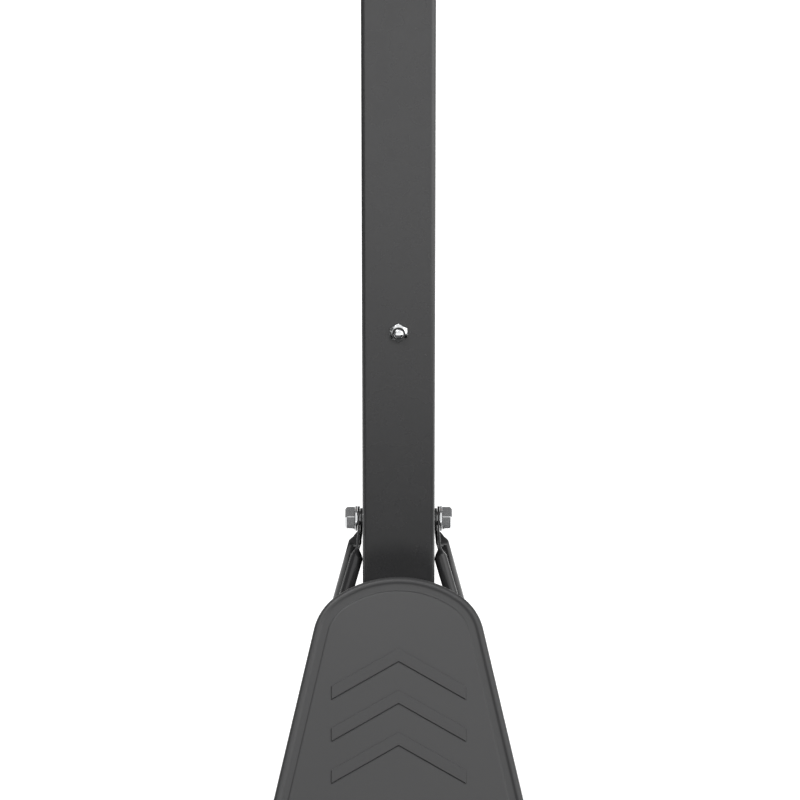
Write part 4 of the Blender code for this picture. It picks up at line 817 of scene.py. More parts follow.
def build_pole():
    """Outer pole with its knob boss, and the moulded collar that guides the mast."""
    s = steel_sizes()
    reach = POLE_HIGH.z - POLE_LOW.z
    pole = square_tube("pole", 2 * POLE_HALF, s.pole_wall, s.pole_corner, (0, 0, POLE_LOW.z), reach)
    face = -POLE_LOW.y - POLE_HALF
    boss = [(KNOB_BOSS_R, -s.pole_wall), (KNOB_BOSS_R, face - BOSS_CHAMFER),
            (KNOB_BOSS_R - BOSS_CHAMFER, face), (KNOB_BORE_R, face), (KNOB_BORE_R, -s.pole_wall)]
    boss = lathed("boss", boss, "powder_coat", at((0, -POLE_HALF, KNOB_Z), -AHEAD))
    dress(joined("pole_tube", pole, boss), "stand", "coated_steel", "pole_lower")
    low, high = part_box("pole_collar")
    half, inner, lip = high.x, POLE_HALF + REST_GAP, MAST_HALF + COLLAR_SLACK
    seat = POLE_HIGH.z + REST_GAP
    corner = half - POLE_HALF + s.pole_corner
    steps = [(half + x * MM, low.z + z * MM, corner) for x, z in COLLAR_FOOT]
    steps += [(half + x * MM, high.z + z * MM, corner) for x, z in COLLAR_HEAD]
    steps += [(half - COLLAR_ROUND, high.z, corner - TOP_CORNER_LESS),
              (lip + LIP_ROUND, high.z, LIP_ROUND_CORNER), (lip, high.z - LIP_ROUND, LIP_CORNER),
              (lip, seat, LIP_CORNER), (inner, seat, COLLAR_BORE_CORNER), (inner, low.z, COLLAR_BORE_CORNER)]
    collar = ring_loft("pole_guide", square_rings(steps), "fittings", closed=True, sharp=40)
    dress(collar, "stand", "fitting_plastic", "pole_collar")


FLAT, TUBE = 8, 2
GAP, EAR_T = 0.3 * MM, 2.6 * MM
HEAD_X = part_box("strut_bolt_right")[1].x - M16.head
FRONT_EAR_X = POLE_HALF + GAP + EAR_T / 2
REAR_EAR_X = FRONT_EAR_X + EAR_T + GAP
EAR_FLAT, EAR_END, EAR_BEND = 13 * MM, 28 * MM, 37 * MM
EAR_SPLAY, REAR_TUBE_SPLAY, FRONT_TUBE_SPLAY = 1.5 * MM, 2.5 * MM, 7.5 * MM
REAR_TIP_LONGER, REAR_BEND_LOWER = 2 * MM, 3.5 * MM
REAR_FOOT = Vector((139 * MM, -148 * MM, DECK_H + GAP + EAR_T / 2))
LUG_HOLE_REACH, LUG_BEND = 20 * MM, 12 * MM
FRONT_LUG = Vector((TONGUE_HALF_W + GAP + EAR_T / 2, 180 * MM, TONGUE_H / 2))
FRONT_LUG_FLAT, FRONT_LUG_L = 27 * MM, 39 * MM
TIP_ANGLES, TIP_THINNER = (6, 14, 24, 36, 48, 62, 76, 90), 0.75
ROUNDING_LEAD = 1.6


def section(centre, width_way, thick_way, half_width, half_thick, squareness, count=40):
    """A ring between a flat strip and a round tube: squareness 2 is round, higher is flatter."""
    ring = []
    for i in range(count):
        a = 2 * pi * (i + 0.5) / count
        c, s = cos(a), sin(a)
        across = half_width * abs(c) ** (2 / squareness) * (1 if c > 0 else -1)
        through = half_thick * abs(s) ** (2 / squareness) * (1 if s > 0 else -1)
        ring.append(centre + across * width_way + through * thick_way)
    return ring


def squared(way, axis):
    return (way - way.dot(axis) * axis).normalized()


def ear(width_way, thick_way):
    """The flat section of a brace's end."""
    s = steel_sizes()
    return (width_way, thick_way, s.ear_w / 2, s.ear_t / 2, FLAT)


def tube(width_way, thick_way):
    """The round section of a brace."""
    half = steel_sizes().strut_d / 2
    return (width_way, thick_way, half, half, TUBE)


def tip_rings(tip_way, hole, width_way, thick_way, longer=0.0):
    """Sections of an ear's rounded tip, from its end to its bolt's centre."""
    s = steel_sizes()
    rings = []
    for degrees in TIP_ANGLES:
        back, half = (s.ear_w / 2 + longer) * cos(radians(degrees)), s.ear_w / 2 * sin(radians(degrees))
        thick = s.ear_t / 2 * (TIP_THINNER if degrees == TIP_ANGLES[0] else 1)
        rings.append(section(hole + back * tip_way, width_way, thick_way, half, thick, FLAT))
    return rings


def swelling(start, end, first, last, steps=6):
    """Sections that swell smoothly from one kind to another."""
    rings = []
    for step in range(1, steps + 1):
        t = step / steps
        ease = t * t * (3 - 2 * t)
        width = first[0].lerp(last[0], ease).normalized()
        thick = first[1].lerp(last[1], ease).normalized()
        sizes = [a + (b - a) * ease for a, b in zip(first[2:4], last[2:4])]
        square = first[4] + (last[4] - first[4]) * min(1, ROUNDING_LEAD * ease)
        rings.append(section(start.lerp(end, t), width, thick, *sizes, square))
    return rings


def upper_ear(side, ear_x, splay, foot, longer=0.0, lower=0.0):
    """Sections from a brace's upper tip to its tube, which sets off towards the foot."""
    lean = foot.y / (STRUT_BOLT_Z - foot.z)
    down = Vector((0, lean, -1))
    width_way = Vector((0, 1, lean)).normalized()
    hole = Vector((side * ear_x, 0, STRUT_BOLT_Z))
    rings = tip_rings(-down.normalized(), hole, width_way, RIGHT, longer)
    flat = hole + EAR_FLAT * down
    narrow = hole + EAR_END * down + side * EAR_SPLAY * RIGHT
    start = hole + (EAR_BEND + lower) * down + side * splay * RIGHT
    rings += [section(flat.lerp(narrow, t), *ear(width_way, RIGHT)) for t in (0, 0.33, 0.66, 1)]
    axis = (foot - start).normalized()
    way = squared(width_way, axis)
    rings += swelling(narrow, start, ear(width_way, RIGHT), tube(way, squared(RIGHT, axis)))
    return rings, start, axis, way


def outward(way):
    return -way if way.x < 0 else way


def along_tube(start, end, axis, first_way, last_way, steps=10):
    rings = []
    for step in range(1, steps + 1):
        way = squared(first_way.lerp(last_way, step / steps), axis)
        rings.append(section(start.lerp(end, step / steps), *tube(way, outward(axis.cross(way)))))
    return rings


def rear_lug(side):
    """A rear brace's bend on the deck, its lug's direction and its bolt's centre."""
    bend = Vector((side * REAR_FOOT.x, REAR_FOOT.y, REAR_FOOT.z))
    away = Vector((side * (REAR_FOOT.x - REAR_EAR_X), REAR_FOOT.y, 0)).normalized()
    return bend, away, bend + LUG_HOLE_REACH * away


def build_brace(place, name, rings):
    brace = ring_loft(f"brace_{place}_{name}", rings, "brace_coat", sharp=50)
    dress(brace, "stand", "coated_steel", f"strut_{place}_{name}")


def build_rear_brace(name, side):
    bend, away, lug = rear_lug(side)
    rings, start, axis, way = upper_ear(side, REAR_EAR_X, REAR_TUBE_SPLAY, bend, REAR_TIP_LONGER,
                                        REAR_BEND_LOWER)
    lug_way = Vector((-away.y * side, away.x * side, 0))
    end = bend - LUG_BEND * axis
    end_way = squared(lug_way, axis)
    rings += along_tube(start, end, axis, way, end_way)
    last = outward(axis.cross(end_way))
    thick_way = UP if last.z > 0 else -UP
    flat = bend + LUG_BEND / 2 * away
    rings += swelling(end, flat, tube(end_way, last), ear(lug_way, thick_way), 8)
    build_brace("rear", name, rings + tip_rings(away, lug, lug_way, thick_way)[::-1])


def build_front_brace(name, side):
    lug = Vector((side * FRONT_LUG.x, FRONT_LUG.y, FRONT_LUG.z))
    lean = lug.y / (STRUT_BOLT_Z - lug.z)
    up_lug = Vector((0, -lean, 1))
    bend = lug + FRONT_LUG_L * up_lug + side * steel_sizes().strut_d / 4 * RIGHT
    rings, start, axis, way = upper_ear(side, FRONT_EAR_X, FRONT_TUBE_SPLAY, bend)
    rings += along_tube(start, bend, axis, way, way)
    width_way = Vector((0, 1, lean)).normalized()
    narrow = lug + FRONT_LUG_FLAT * up_lug
    rings += swelling(bend, narrow, tube(way, squared(RIGHT, axis)), ear(width_way, RIGHT))
    build_brace("front", name, rings + tip_rings(-up_lug.normalized(), lug, width_way, RIGHT)[::-1])


WASHER_BORE_R = 8.3 * MM
LUG_BOLT_L = 21 * MM
STOP_NUT_H, STOP_NUT_LEAD = 4.8 * MM, 0.78
STOP_END = ((5.4, 0), (5.8, 0.4), (5.8, 9))
STOP_DOME, DOME_STEPS, STOP_END_IN = 3.4 * MM, 9, 4 * MM
INSERT_BORE_R, INSERT_R, INSERT_T, INSERT_SUNK = 6 * MM, 7.3 * MM, 0.8 * MM, 0.5 * MM
BRACE_BOLT_LEAD, BRACE_BOLT_SLOPE, BRACE_BOLT_IN = 0.81, 1, 16 * MM


def build_brace_fasteners(name, side):
    seat = (side * HEAD_X, 0, STRUT_BOLT_Z)
    bolt = hex_bolt("brace_bolt_" + name, seat, -side * RIGHT, M16, HEAD_X - POLE_HALF + BRACE_BOLT_IN,
                    -AHEAD, BRACE_BOLT_LEAD, BRACE_BOLT_SLOPE, True, 3)
    dress(bolt, "stand", "zinc_steel", "strut_bolt_" + name)
    low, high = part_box("strut_washer_" + name)
    seat = (low.x if side > 0 else high.x, 0, STRUT_BOLT_Z)
    disc = washer("brace_washer_" + name, seat, side * RIGHT, WASHER_BORE_R, high.z - STRUT_BOLT_Z,
                  high.x - low.x)
    dress(disc, "stand", "zinc_steel", "strut_washer_" + name)
    lift = EAR_T + 2 * GAP
    lug = rear_lug(side)[2]
    rear = hex_bolt("lug_bolt_rear_" + name, (lug.x, lug.y, DECK_H + lift), -UP, M10, LUG_BOLT_L)
    dress(rear, "stand", "zinc_steel", "foot_bolt_rear_" + name)
    seat = (side * (TONGUE_HALF_W + lift), FRONT_LUG.y, FRONT_LUG.z)
    front = hex_bolt("lug_bolt_front_" + name, seat, -side * RIGHT, M10, LUG_BOLT_L, AHEAD)
    dress(front, "stand", "zinc_steel", "foot_bolt_front_" + name)


def build_stop():
    """Height stop: a through bolt whose nut and rounded end face the tank."""
    nut = hex_nut("stop_nut_bright", (0, -POLE_HALF, STOP_BOLT_Z), -AHEAD, M12, STOP_NUT_H, slack=0,
                  lead=STOP_NUT_LEAD, segments=3)
    dress(nut, "stand", "zinc_steel", "stop_nut")
    seat = (0, POLE_HALF + REST_GAP, STOP_BOLT_Z)
    bolt = hex_bolt("stop_bolt_head", seat, -AHEAD, M12_STOP, 2 * POLE_HALF, segments=3)
    profile = mm(STOP_END)
    radius, height = profile[-1]
    for step in range(1, DOME_STEPS):
        a = pi / 2 * step / DOME_STEPS
        profile.append((radius * cos(a), height + STOP_DOME * sin(a)))
    place = at((0, STOP_END_IN - POLE_HALF, STOP_BOLT_Z), -AHEAD)
    end = lathed("end", profile, "zinc", place, 40, closed=False, sharp=50)
    seat = (0, -POLE_HALF - STOP_NUT_H + INSERT_SUNK, STOP_BOLT_Z)
    insert = washer("stop_nut_insert", seat, -AHEAD, INSERT_BORE_R, INSERT_R, INSERT_T, "fittings")
    dress(insert, "stand", "fitting_plastic")
    dress(joined("stop_bolt_bright", bolt, end), "stand", "zinc_steel", "stop_bolt")


TYRE_BORE, TYRE_CROWN = (31.3, 14), ((-6.5, 15), (-3, 13.8), (-0.8, 11), (-0.8, 3))
TREAD_COUNT, TREAD_SINK, TREAD_SPAN = 30, 0.4 * MM, (-1.5 * MM, 0.4 * MM)
TREAD_BLOCK, SPOKE = (2.6 * MM, 11 * MM, 0.8 * MM), (9 * MM, 2.2 * MM, 1 * MM)
HUB_SIDE = ((31, 15), (30, 15), (27.5, 14), (27, 3), (12, 3), (11, 14), (10, 15), (6.3, 15))
SPOKE_COUNT, SPOKE_X, SPOKE_SPAN, SPOKE_EDGE = 6, 19.5 * MM, (1 * MM, 11 * MM), 0.8 * MM
SPINDLE_SLACK = 0.4 * MM


def both_faces(profile):
    return profile + [(a, -b) for a, b in reversed(profile)]


def build_wheels(name, side):
    centre = middle("tyre_" + name)
    place = at(centre, side * RIGHT, AHEAD)
    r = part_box("tyre_" + name)[1].z - centre.z
    profile = mm([TYRE_BORE]) + [(r + a * MM, b * MM) for a, b in TYRE_CROWN]
    tyre = lathed("tyre", both_faces(profile), "rubber", sides=96, sharp=45)
    flat = rounded_rectangle(*TREAD_BLOCK, steps=3)
    block = ring_loft("block", [level(flat, z) for z in TREAD_SPAN], "rubber")
    block.data.transform(at((r - TREAD_SINK, 0, 0), RIGHT, AHEAD))
    tread_wheel = joined("wheel_tyre_" + name, tyre, ringed("treads", block, TREAD_COUNT))
    tread_wheel.data.transform(place)
    dress(tread_wheel, "wheel_" + name, "rubber", "tyre_" + name)
    hub = lathed("hub", both_faces(mm(HUB_SIDE)), "fittings", sides=72, sharp=35)
    flat = rounded_rectangle(*SPOKE, (SPOKE_X, 0), 3)
    spoke = softened(ring_loft("spoke", [level(flat, z) for z in SPOKE_SPAN], "fittings"), SPOKE_EDGE, 2)
    hub_wheel = joined("wheel_hub_" + name, hub, ringed("spokes", spoke, SPOKE_COUNT))
    hub_wheel.data.transform(place)
    dress(hub_wheel, "wheel_" + name, "fitting_plastic", "hub_" + name)


def build_axle():
    low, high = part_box("wheel_axle")
    nut_low, nut_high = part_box("axle_nut")
    y, z = middle("wheel_axle").y, middle("wheel_axle").z
    reach = high.x - low.x - M12.head
    bolt = hex_bolt("wheel_spindle", (low.x + M12.head, y, z), RIGHT, M12, reach, AHEAD)
    dress(bolt, "stand", "zinc_steel", "wheel_axle")
    height = nut_high.x - nut_low.x
    nut = hex_nut("spindle_nut", (nut_low.x, y, z), RIGHT, M12, height, AHEAD, SPINDLE_SLACK)
    dress(nut, "stand", "zinc_steel", "axle_nut")


PLUG_FLANGE_R = 31 * MM
PLUG_DISC = ((20, -18), (22, -16), (22, 0), (31, 0), (31, 6), (30.2, 7.4), (28.6, 8), (25, 8), (24, 7),
             (2, 7))
FLUTE_COUNT, FLUTE = 48, ((1.1, 0.6), (1.1, 6.4))
GRIP = ((0, 5), (0, 14), (0.8, 16.8), (2.4, 18))
GRIP_HALF_L, GRIP_HALF_T, GRIP_CORNER, GRIP_EDGE = 25 * MM, 4.5 * MM, 4.4 * MM, 0.6 * MM
GASKET = (23 * MM, 28 * MM, 2.5 * MM)


def build_plug():
    """Screw plug with a coin-edge flange, a grip bar and its seal."""
    seal_low, seal_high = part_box("plug_seal")
    place = at((PLUG_MIDDLE.x, PLUG_MIDDLE.y, seal_high.z + REST_GAP))
    disc = lathed("disc", mm(PLUG_DISC), "fittings", place, 96, closed=False)
    flute = lathed("flute", mm(FLUTE), "fittings", None, 10, closed=False)
    flute.data.transform(Matrix.Translation((PLUG_FLANGE_R, 0, 0)))
    flutes = ringed("flutes", flute, FLUTE_COUNT, place)
    grip = slab("grip", GRIP_HALF_L, -GRIP_HALF_T, GRIP_HALF_T, GRIP_CORNER, mm(GRIP), "fittings", place, 6)
    plug = joined("screw_plug", disc, flutes, softened(grip, GRIP_EDGE, 2))
    dress(plug, "fill_plug", "fitting_plastic", "fill_plug")
    seal = washer("plug_gasket", (PLUG_MIDDLE.x, PLUG_MIDDLE.y, seal_low.z), UP, *GASKET, "rubber")
    dress(seal, "fill_plug", "rubber", "plug_seal")


KNOB_HEAD_H, KNOB_LOBES, LOBE_DEPTH = 19 * MM, 5, 0.14
LOBE_START, LOBE_FADE = 13 * MM, 8 * MM
KNOB_STEM = ((4.6, 0), (5.8, 1.2))
KNOB_HEAD = ((5.8, 0), (11, 0), (11.4, 4), (14, 5), (20.5, 5.5), (22.6, 7), (23.5, 9.5), (23.7, 13),
             (22.8, 16), (20.4, 18), (16, 19), (10, 19), (9, 18), (1, 18))


def build_knob():
    low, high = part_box("lock_knob")

    def lobes(a, radius):
        share = min(1, max(0, (radius - LOBE_START) / LOBE_FADE))
        return radius * (1 + LOBE_DEPTH * share * cos(KNOB_LOBES * a))

    profile = mm(KNOB_STEM) + mm(KNOB_HEAD, high.y - low.y - KNOB_HEAD_H)
    place = at((0, high.y, KNOB_Z), -AHEAD)
    knob = lathed("clamp_knob", profile, "fittings", place, 120, lobes, closed=False, sharp=38)
    dress(knob, "lock_knob", "fitting_plastic", "lock_knob")


CAP_SPIGOT_IN, CAP_SPIGOT_CORNER = 3 * MM, 3 * MM
CAP_ROUND = ((0, -2, 0), (-0.7, -0.6, 0), (-2.4, 0, -1))


def build_mast():
    s = steel_sizes()
    reach = MAST_HIGH.z - MAST_LOW.z
    tube_steel = square_tube("mast", 2 * MAST_HALF, s.mast_wall, s.mast_corner, (0, 0, MAST_LOW.z), reach)
    dress(tube_steel, "mast", "coated_steel", "mast_tube")
    low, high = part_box("mast_cap")
    half, corner, seat = MAST_HALF, s.mast_corner, MAST_HIGH.z + REST_GAP
    spigot = half - CAP_SPIGOT_IN
    steps = [(spigot, low.z, CAP_SPIGOT_CORNER), (spigot, seat, CAP_SPIGOT_CORNER), (half, seat, corner)]
    steps += [(half + x * MM, high.z + z * MM, corner + less * MM) for x, z, less in CAP_ROUND]
    cap = ring_loft("mast_end_cap", square_rings(steps), "fittings", sharp=40)
    dress(cap, "mast", "fitting_plastic", "mast_cap")


def corner_ways(corners, i):
    """A polygon's corner with the directions to its neighbours and half the angle between them."""
    here = Vector(corners[i])
    before = (Vector(corners[i - 1]) - here).normalized()
    after = (Vector(corners[(i + 1) % len(corners)]) - here).normalized()
    return here, before, after, before.angle(after) / 2


def corner_arcs(corners, radius, steps=8):
    """A convex polygon with its corners rounded by arcs of one radius, anticlockwise."""
    points = []
    for i in range(len(corners)):
        here, before, after, half_angle = corner_ways(corners, i)
        centre = here + (before + after).normalized() * radius / sin(half_angle)
        start = here + before * radius / tan(half_angle) - centre
        sweep = start.angle_signed(here + after * radius / tan(half_angle) - centre)
        for step in range(steps + 1):
            spoke = start.copy()
            spoke.rotate(Matrix.Rotation(-sweep * step / steps, 2))
            points.append(tuple(centre + spoke))
    return points


def shrunk(corners, inset):
    """A triangle with each side moved inwards."""
    moved = []
    for i in range(len(corners)):
        here, before, after, half_angle = corner_ways(corners, i)
        moved.append(tuple(here + (before + after).normalized() * inset / sin(half_angle)))
    return moved


TRUSS_BAR, TRUSS_EDGE = 34 * MM, 0.6 * MM
M12_NUT_BACK, M12_NUT_H = 13 * MM, 10 * MM


def build_truss(name, side):
    low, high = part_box("bracket_" + name)
    nodes = ("mast_bolt_lower", "rail_bolt_lower", "rail_bolt_upper", "mast_bolt_upper")
    low_z, low_rail_z, high_rail_z, high_z = [middle(node).z for node in nodes]
    half, front = TRUSS_BAR / 2, high.y
    outline = [(-half, low_z - half), (front, low_rail_z - half), (front, high_rail_z + half),
               (-half, high_z + half)]
    first = [(half / 2, low_z), (front - half, low_rail_z), (half / 2, high_z)]
    second = [(half, high_z), (front - half, low_rail_z), (front - half, high_rail_z)]
    loops = [corner_arcs(outline, half * 0.9)]
    loops += [corner_arcs(shrunk(hole, half), half / 2) for hole in (first, second)]
    place = at(along=RIGHT, across=AHEAD)
    plate = outlined("truss_plate_" + name, loops, low.x, high.x, "powder_coat", place)
    dress(edged(plate, TRUSS_EDGE), "mast", "coated_steel", "bracket_" + name)


def build_through_bolts():
    for node in ("mast_bolt_lower", "mast_bolt_upper", "rail_bolt_lower", "rail_bolt_upper"):
        low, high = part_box(node)
        y, z = middle(node).y, middle(node).z
        bolt = hex_bolt("bolt", (low.x + M12.head, y, z), RIGHT, M12, high.x - low.x - M12.head, AHEAD)
        nut = hex_nut("nut", (high.x - M12_NUT_BACK, y, z), RIGHT, M12, M12_NUT_H, AHEAD)
        dress(joined(node.replace("bolt", "screw"), bolt, nut), "mast", "zinc_steel", node)


FRAME_TUBE, FRAME_WALL, FRAME_CORNER = 25 * MM, 1.5 * MM, 2.5 * MM
END_PLUG = ((10.6, -12, 1), (10.6, -0.4, 1))
BOARD_CORNER, BOARD_EDGE = 30 * MM, 0.8 * MM
SCREW_COUNT, SCREW_IN, SCREW_EDGE = 8, 75 * MM, 12.5 * MM
SCREW_HEAD = ((1.2, 1.6), (2.6, 2.6), (4.4, 2), (5.4, 0.9), (5.6, 0))


def build_board_frame():
    """Welded frame and rails of square tube, with moulded plugs in the open ends."""
    for node in ("frame_bottom", "frame_top", "frame_left", "frame_right", "rail_left", "rail_right"):
        low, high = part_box(node)
        size = high - low
        along, across = (RIGHT, AHEAD) if size.x > size.z else (UP, RIGHT)
        reach = max(size.x, size.z)
        start = (low + high) / 2 - along * reach / 2
        bar = square_tube(node.replace("_", "_tube_"), FRAME_TUBE, FRAME_WALL, FRAME_CORNER, start, reach,
                          along, across)
        dress(bar, "mast", "coated_steel", node)
    ends = []
    for node in ("frame_bottom", "frame_top"):
        low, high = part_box(node)
        for x, way in ((low.x, -RIGHT), (high.x, RIGHT)):
            place = at((x, (low.y + high.y) / 2, (low.z + high.z) / 2), way, AHEAD)
            ends.append(ring_loft("end", square_rings(mm(END_PLUG)), "fittings", place))
    dress(joined("frame_end_plugs", *ends), "mast", "fitting_plastic")


def build_board():
    half_w, half_h = BOARD_HIGH.x, (BOARD_HIGH.z - BOARD_LOW.z) / 2
    outline = rounded_rectangle(half_w, half_h, BOARD_CORNER, (0, BOARD_MIDDLE_Z), 12)
    board = outlined("board", [outline], BOARD_LOW.y, BOARD_HIGH.y, "board", at(along=AHEAD, across=-RIGHT))
    dress(edged(board, BOARD_EDGE), "mast", "board_sheet", "board_panel")
    rows = []
    step = (2 * (half_w - SCREW_IN) / (SCREW_COUNT - 1), 0, 0)
    for z in (BOARD_LOW.z + SCREW_EDGE, BOARD_HIGH.z - SCREW_EDGE):
        place = at((SCREW_IN - half_w, BOARD_HIGH.y, z), AHEAD)
        head = lathed("head", mm(SCREW_HEAD), "zinc", place, 28, closed=False)
        rows.append(repeated("row", head, SCREW_COUNT, step=step))
    dress(joined("board_screws", *rows), "mast", "zinc_steel")


SHELF_DROP, PLATE_T, SHELF_HALF_W, SHELF_CORNER = 2.3 * MM, 4 * MM, 59 * MM, 2 * MM
PLATE_CORNER, PLATE_EDGE, SHELF_EDGE = 10 * MM, 0.7 * MM, 0.5 * MM
SPRING_SLOT = (4.6 * MM, 11 * MM, 4.5 * MM)
GUSSET_X, GUSSET_H = 57 * MM, 64 * MM
M8_NUT_BACK = 8.5 * MM


def build_rim_mount():
    """Folded mount: back plate, slotted shelf and two gussets, with its four bolts."""
    low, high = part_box("rim_mount")
    back, half = low.y, PLATE_T / 2
    outline = rounded_rectangle(high.x, (high.z - low.z) / 2, PLATE_CORNER, (0, (high.z + low.z) / 2))
    plate = outlined("plate", [outline], back, back + PLATE_T, "rim_paint", at(along=AHEAD, across=-RIGHT))
    shelf_z = HOOP_MIDDLE.z - SHELF_DROP
    flat = rounded_rectangle(SHELF_HALF_W, (high.y - back) / 2, SHELF_CORNER, (0, (high.y + back) / 2))
    slots = [rounded_rectangle(*SPRING_SLOT, (side * SPRING_X, SPRING_Y)) for side in SIDES.values()]
    shelf = outlined("shelf", [flat] + slots, shelf_z - PLATE_T, shelf_z, "rim_paint")
    pieces = [edged(plate, PLATE_EDGE), edged(shelf, SHELF_EDGE)]
    near, far, fold = back + half, high.y - PLATE_T, shelf_z - half
    triangle = [(near, fold), (near, fold - GUSSET_H), (far, fold)]
    for side in SIDES.values():
        x = side * GUSSET_X
        place = at(along=RIGHT, across=AHEAD)
        gusset = outlined("gusset", [triangle], x - half, x + half, "rim_paint", place)
        pieces.append(edged(gusset, SHELF_EDGE))
    dress(joined("rim_shelf", *pieces), "mast", "rim_paint", "rim_mount")
    for corner in ("lower_left", "lower_right", "upper_left", "upper_right"):
        node = "mount_bolt_" + corner
        low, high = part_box(node)
        x, z = middle(node).x, middle(node).z
        bolt = hex_bolt("bolt", (x, high.y - M8.head, z), -AHEAD, M8, high.y - low.y - M8.head)
        nut = hex_nut("nut", (x, low.y + M8_NUT_BACK, z), -AHEAD, M8, M8.head)
        dress(joined(node.replace("bolt", "screw"), bolt, nut), "mast", "zinc_steel", node)


HOOP_STEPS, LOOP_COUNT = 128, 12
LOOP_WIRE, LOOP_DROP, LOOP_HALF, LOOP_STEPS = 2.2 * MM, 12.8 * MM, 9 * MM, 14
LOOP_SINK = 2 * MM
SPRING_WIRE, SPRING_R, SPRING_TURNS, TURN_STEPS = 1.3 * MM, 8.6 * MM, 6, 24
SPRING_SEAT, SPRING_WASHER = 2.3 * MM, (4 * MM, 11 * MM, 2 * MM)


def circle_point(radius, i, count, z=0.0):
    return (radius * cos(2 * pi * i / count), radius * sin(2 * pi * i / count), z)


def build_rim():
    """Painted hoop with its net loops, and the two sprung bolts that let it tip."""
    points = [circle_point(HOOP_R, i, HOOP_STEPS) for i in range(HOOP_STEPS)]
    hoop = rod("hoop", points, HOOP_ROD / 2, "rim_paint", Matrix.Translation(HOOP_MIDDLE), 24, True)
    bow = [(0, LOOP_HALF * cos(a), -HOOP_ROD / 2 - LOOP_DROP * sin(a))
           for a in (pi * i / LOOP_STEPS for i in range(LOOP_STEPS + 1))]
    sink = LOOP_SINK - HOOP_ROD / 2
    loop = rod("loop", [(0, LOOP_HALF, sink)] + bow + [(0, -LOOP_HALF, sink)], LOOP_WIRE, "rim_paint",
               Matrix.Translation((HOOP_R, 0, 0)), 10)
    loops = ringed("loops", loop, LOOP_COUNT, Matrix.Translation(HOOP_MIDDLE))
    dress(joined("hoop_with_loops", hoop, loops), "rim", "rim_paint", "hoop_ring")
    for name, side in SIDES.items():
        low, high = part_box("spring_bolt_" + name)
        seat = Vector((side * SPRING_X, SPRING_Y, high.z - M8.head))
        bolt = hex_bolt("bolt", seat, -UP, M8, seat.z - low.z)
        spring_low, spring_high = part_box("rim_spring_" + name)
        under = (seat.x, seat.y, spring_low.z - SPRING_SEAT)
        disc = washer("disc", under, UP, *SPRING_WASHER)
        nut = hex_nut("nut", under, -UP, M8, M8.head)
        dress(joined("spring_screw_" + name, bolt, disc, nut), "rim", "zinc_steel", "spring_bolt_" + name)
        height = spring_high.z - spring_low.z - 2 * SPRING_WIRE
        count = TURN_STEPS * SPRING_TURNS
        coil = [circle_point(SPRING_R, i, TURN_STEPS, SPRING_WIRE + height * i / count)
                for i in range(count + 1)]
        place = Matrix.Translation((seat.x, seat.y, spring_low.z))
        spring = rod("spring_" + name, coil, SPRING_WIRE, "zinc", place, 10)
        dress(spring, "rim", "zinc_steel", "rim_spring_" + name)
        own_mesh(spring)


NET_LOW_R, NET_COLUMNS, NET_CORD, NET_BOW, NET_TAPER = 138 * MM, 12, 2.1 * MM, 1.5 * MM, 1.35
NET_TOP_Z, NET_LOW_Z = HOOP_LOW.z - 12 * MM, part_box("net")[0].z + 4 * MM
NET_SAG = (0, 0.1, 0.24, 0.4, 0.55, 0.7, 0.85, 1.0)
STRAND_STEPS = 4
KNOT = ((1, 4.4), (3.4, 3), (4.4, 0), (3.4, -3), (1, -4.4))


def build_net():
    """Knotted net: zigzag strands round a tapering sleeve, with a knot at each crossing."""
    strand, pieces = [], []
    for row, share in enumerate(NET_SAG):
        z = NET_TOP_Z + (NET_LOW_Z - NET_TOP_Z) * share
        r = NET_LOW_R + (HOOP_R - NET_LOW_R) * (1 - share) ** NET_TAPER
        a = pi / NET_COLUMNS * (row % 2)
        strand.append((r * cos(a), r * sin(a), z))
    for mirror in (1, -1):
        fine = []
        points = [Vector((x, mirror * y, z)) for x, y, z in strand]
        for a, b in zip(points, points[1:]):
            for step in range(STRAND_STEPS):
                mid = a.lerp(b, step / STRAND_STEPS)
                bow = NET_BOW * sin(pi * step / STRAND_STEPS)
                fine.append(mid + Vector((mid.x, mid.y, 0)).normalized() * bow * mirror)
        cord = rod("strand", fine + [points[-1]], NET_CORD, "cord", None, 8)
        pieces.append(ringed("strands", cord, NET_COLUMNS))
    for point in strand:
        knot = lathed("knot", mm(KNOT), "cord", Matrix.Translation(point), 10, closed=False, sharp=60)
        pieces.append(ringed("knots", knot, NET_COLUMNS))
    net = joined("knotted_net", *pieces)
    net.data.transform(Matrix.Translation((HOOP_MIDDLE.x, HOOP_MIDDLE.y, 0)))
    net.data.shade_smooth()
    dress(net, "rim", "net_cord", "net")


PHOTO_WIDTH, FOCAL_PX, SENSOR = 800, 4803, 36.0
ELEVATION = radians(21.9)
BOLT_DEPTH, BOLT_PX = 5.36, (398.6, 518.2)


def build_camera():
    """Camera at the photograph's angle, set so that the brace bolts' axis falls on its place."""
    data = bpy.data.cameras.new("photo_camera")
    data.sensor_width = SENSOR
    data.lens = SENSOR * FOCAL_PX / PHOTO_WIDTH
    data.clip_end = 100
    camera = linked("photo_camera", data)
    look = Vector((0, cos(ELEVATION), -sin(ELEVATION)))
    top = Vector((0, sin(ELEVATION), cos(ELEVATION)))
    across, down = [(px - PHOTO_WIDTH / 2) / FOCAL_PX * BOLT_DEPTH for px in BOLT_PX]
    camera.location = Vector((0, 0, STRUT_BOLT_Z)) - look * BOLT_DEPTH - RIGHT * across + top * down
    camera.rotation_euler = look.to_track_quat("-Z", "Y").to_euler()
    bpy.context.scene.camera = camera


def panel_light(name, centre, target, width, height, power, glossy):
    data = bpy.data.lights.new(name, "AREA")
    data.shape = "RECTANGLE"
    data.size, data.size_y = width, height
    data.energy = power
    light = linked(name, data)
    light.visible_glossy = glossy
    light.location = centre
    light.rotation_euler = (Vector(target) - Vector(centre)).to_track_quat("-Z", "Y").to_euler()


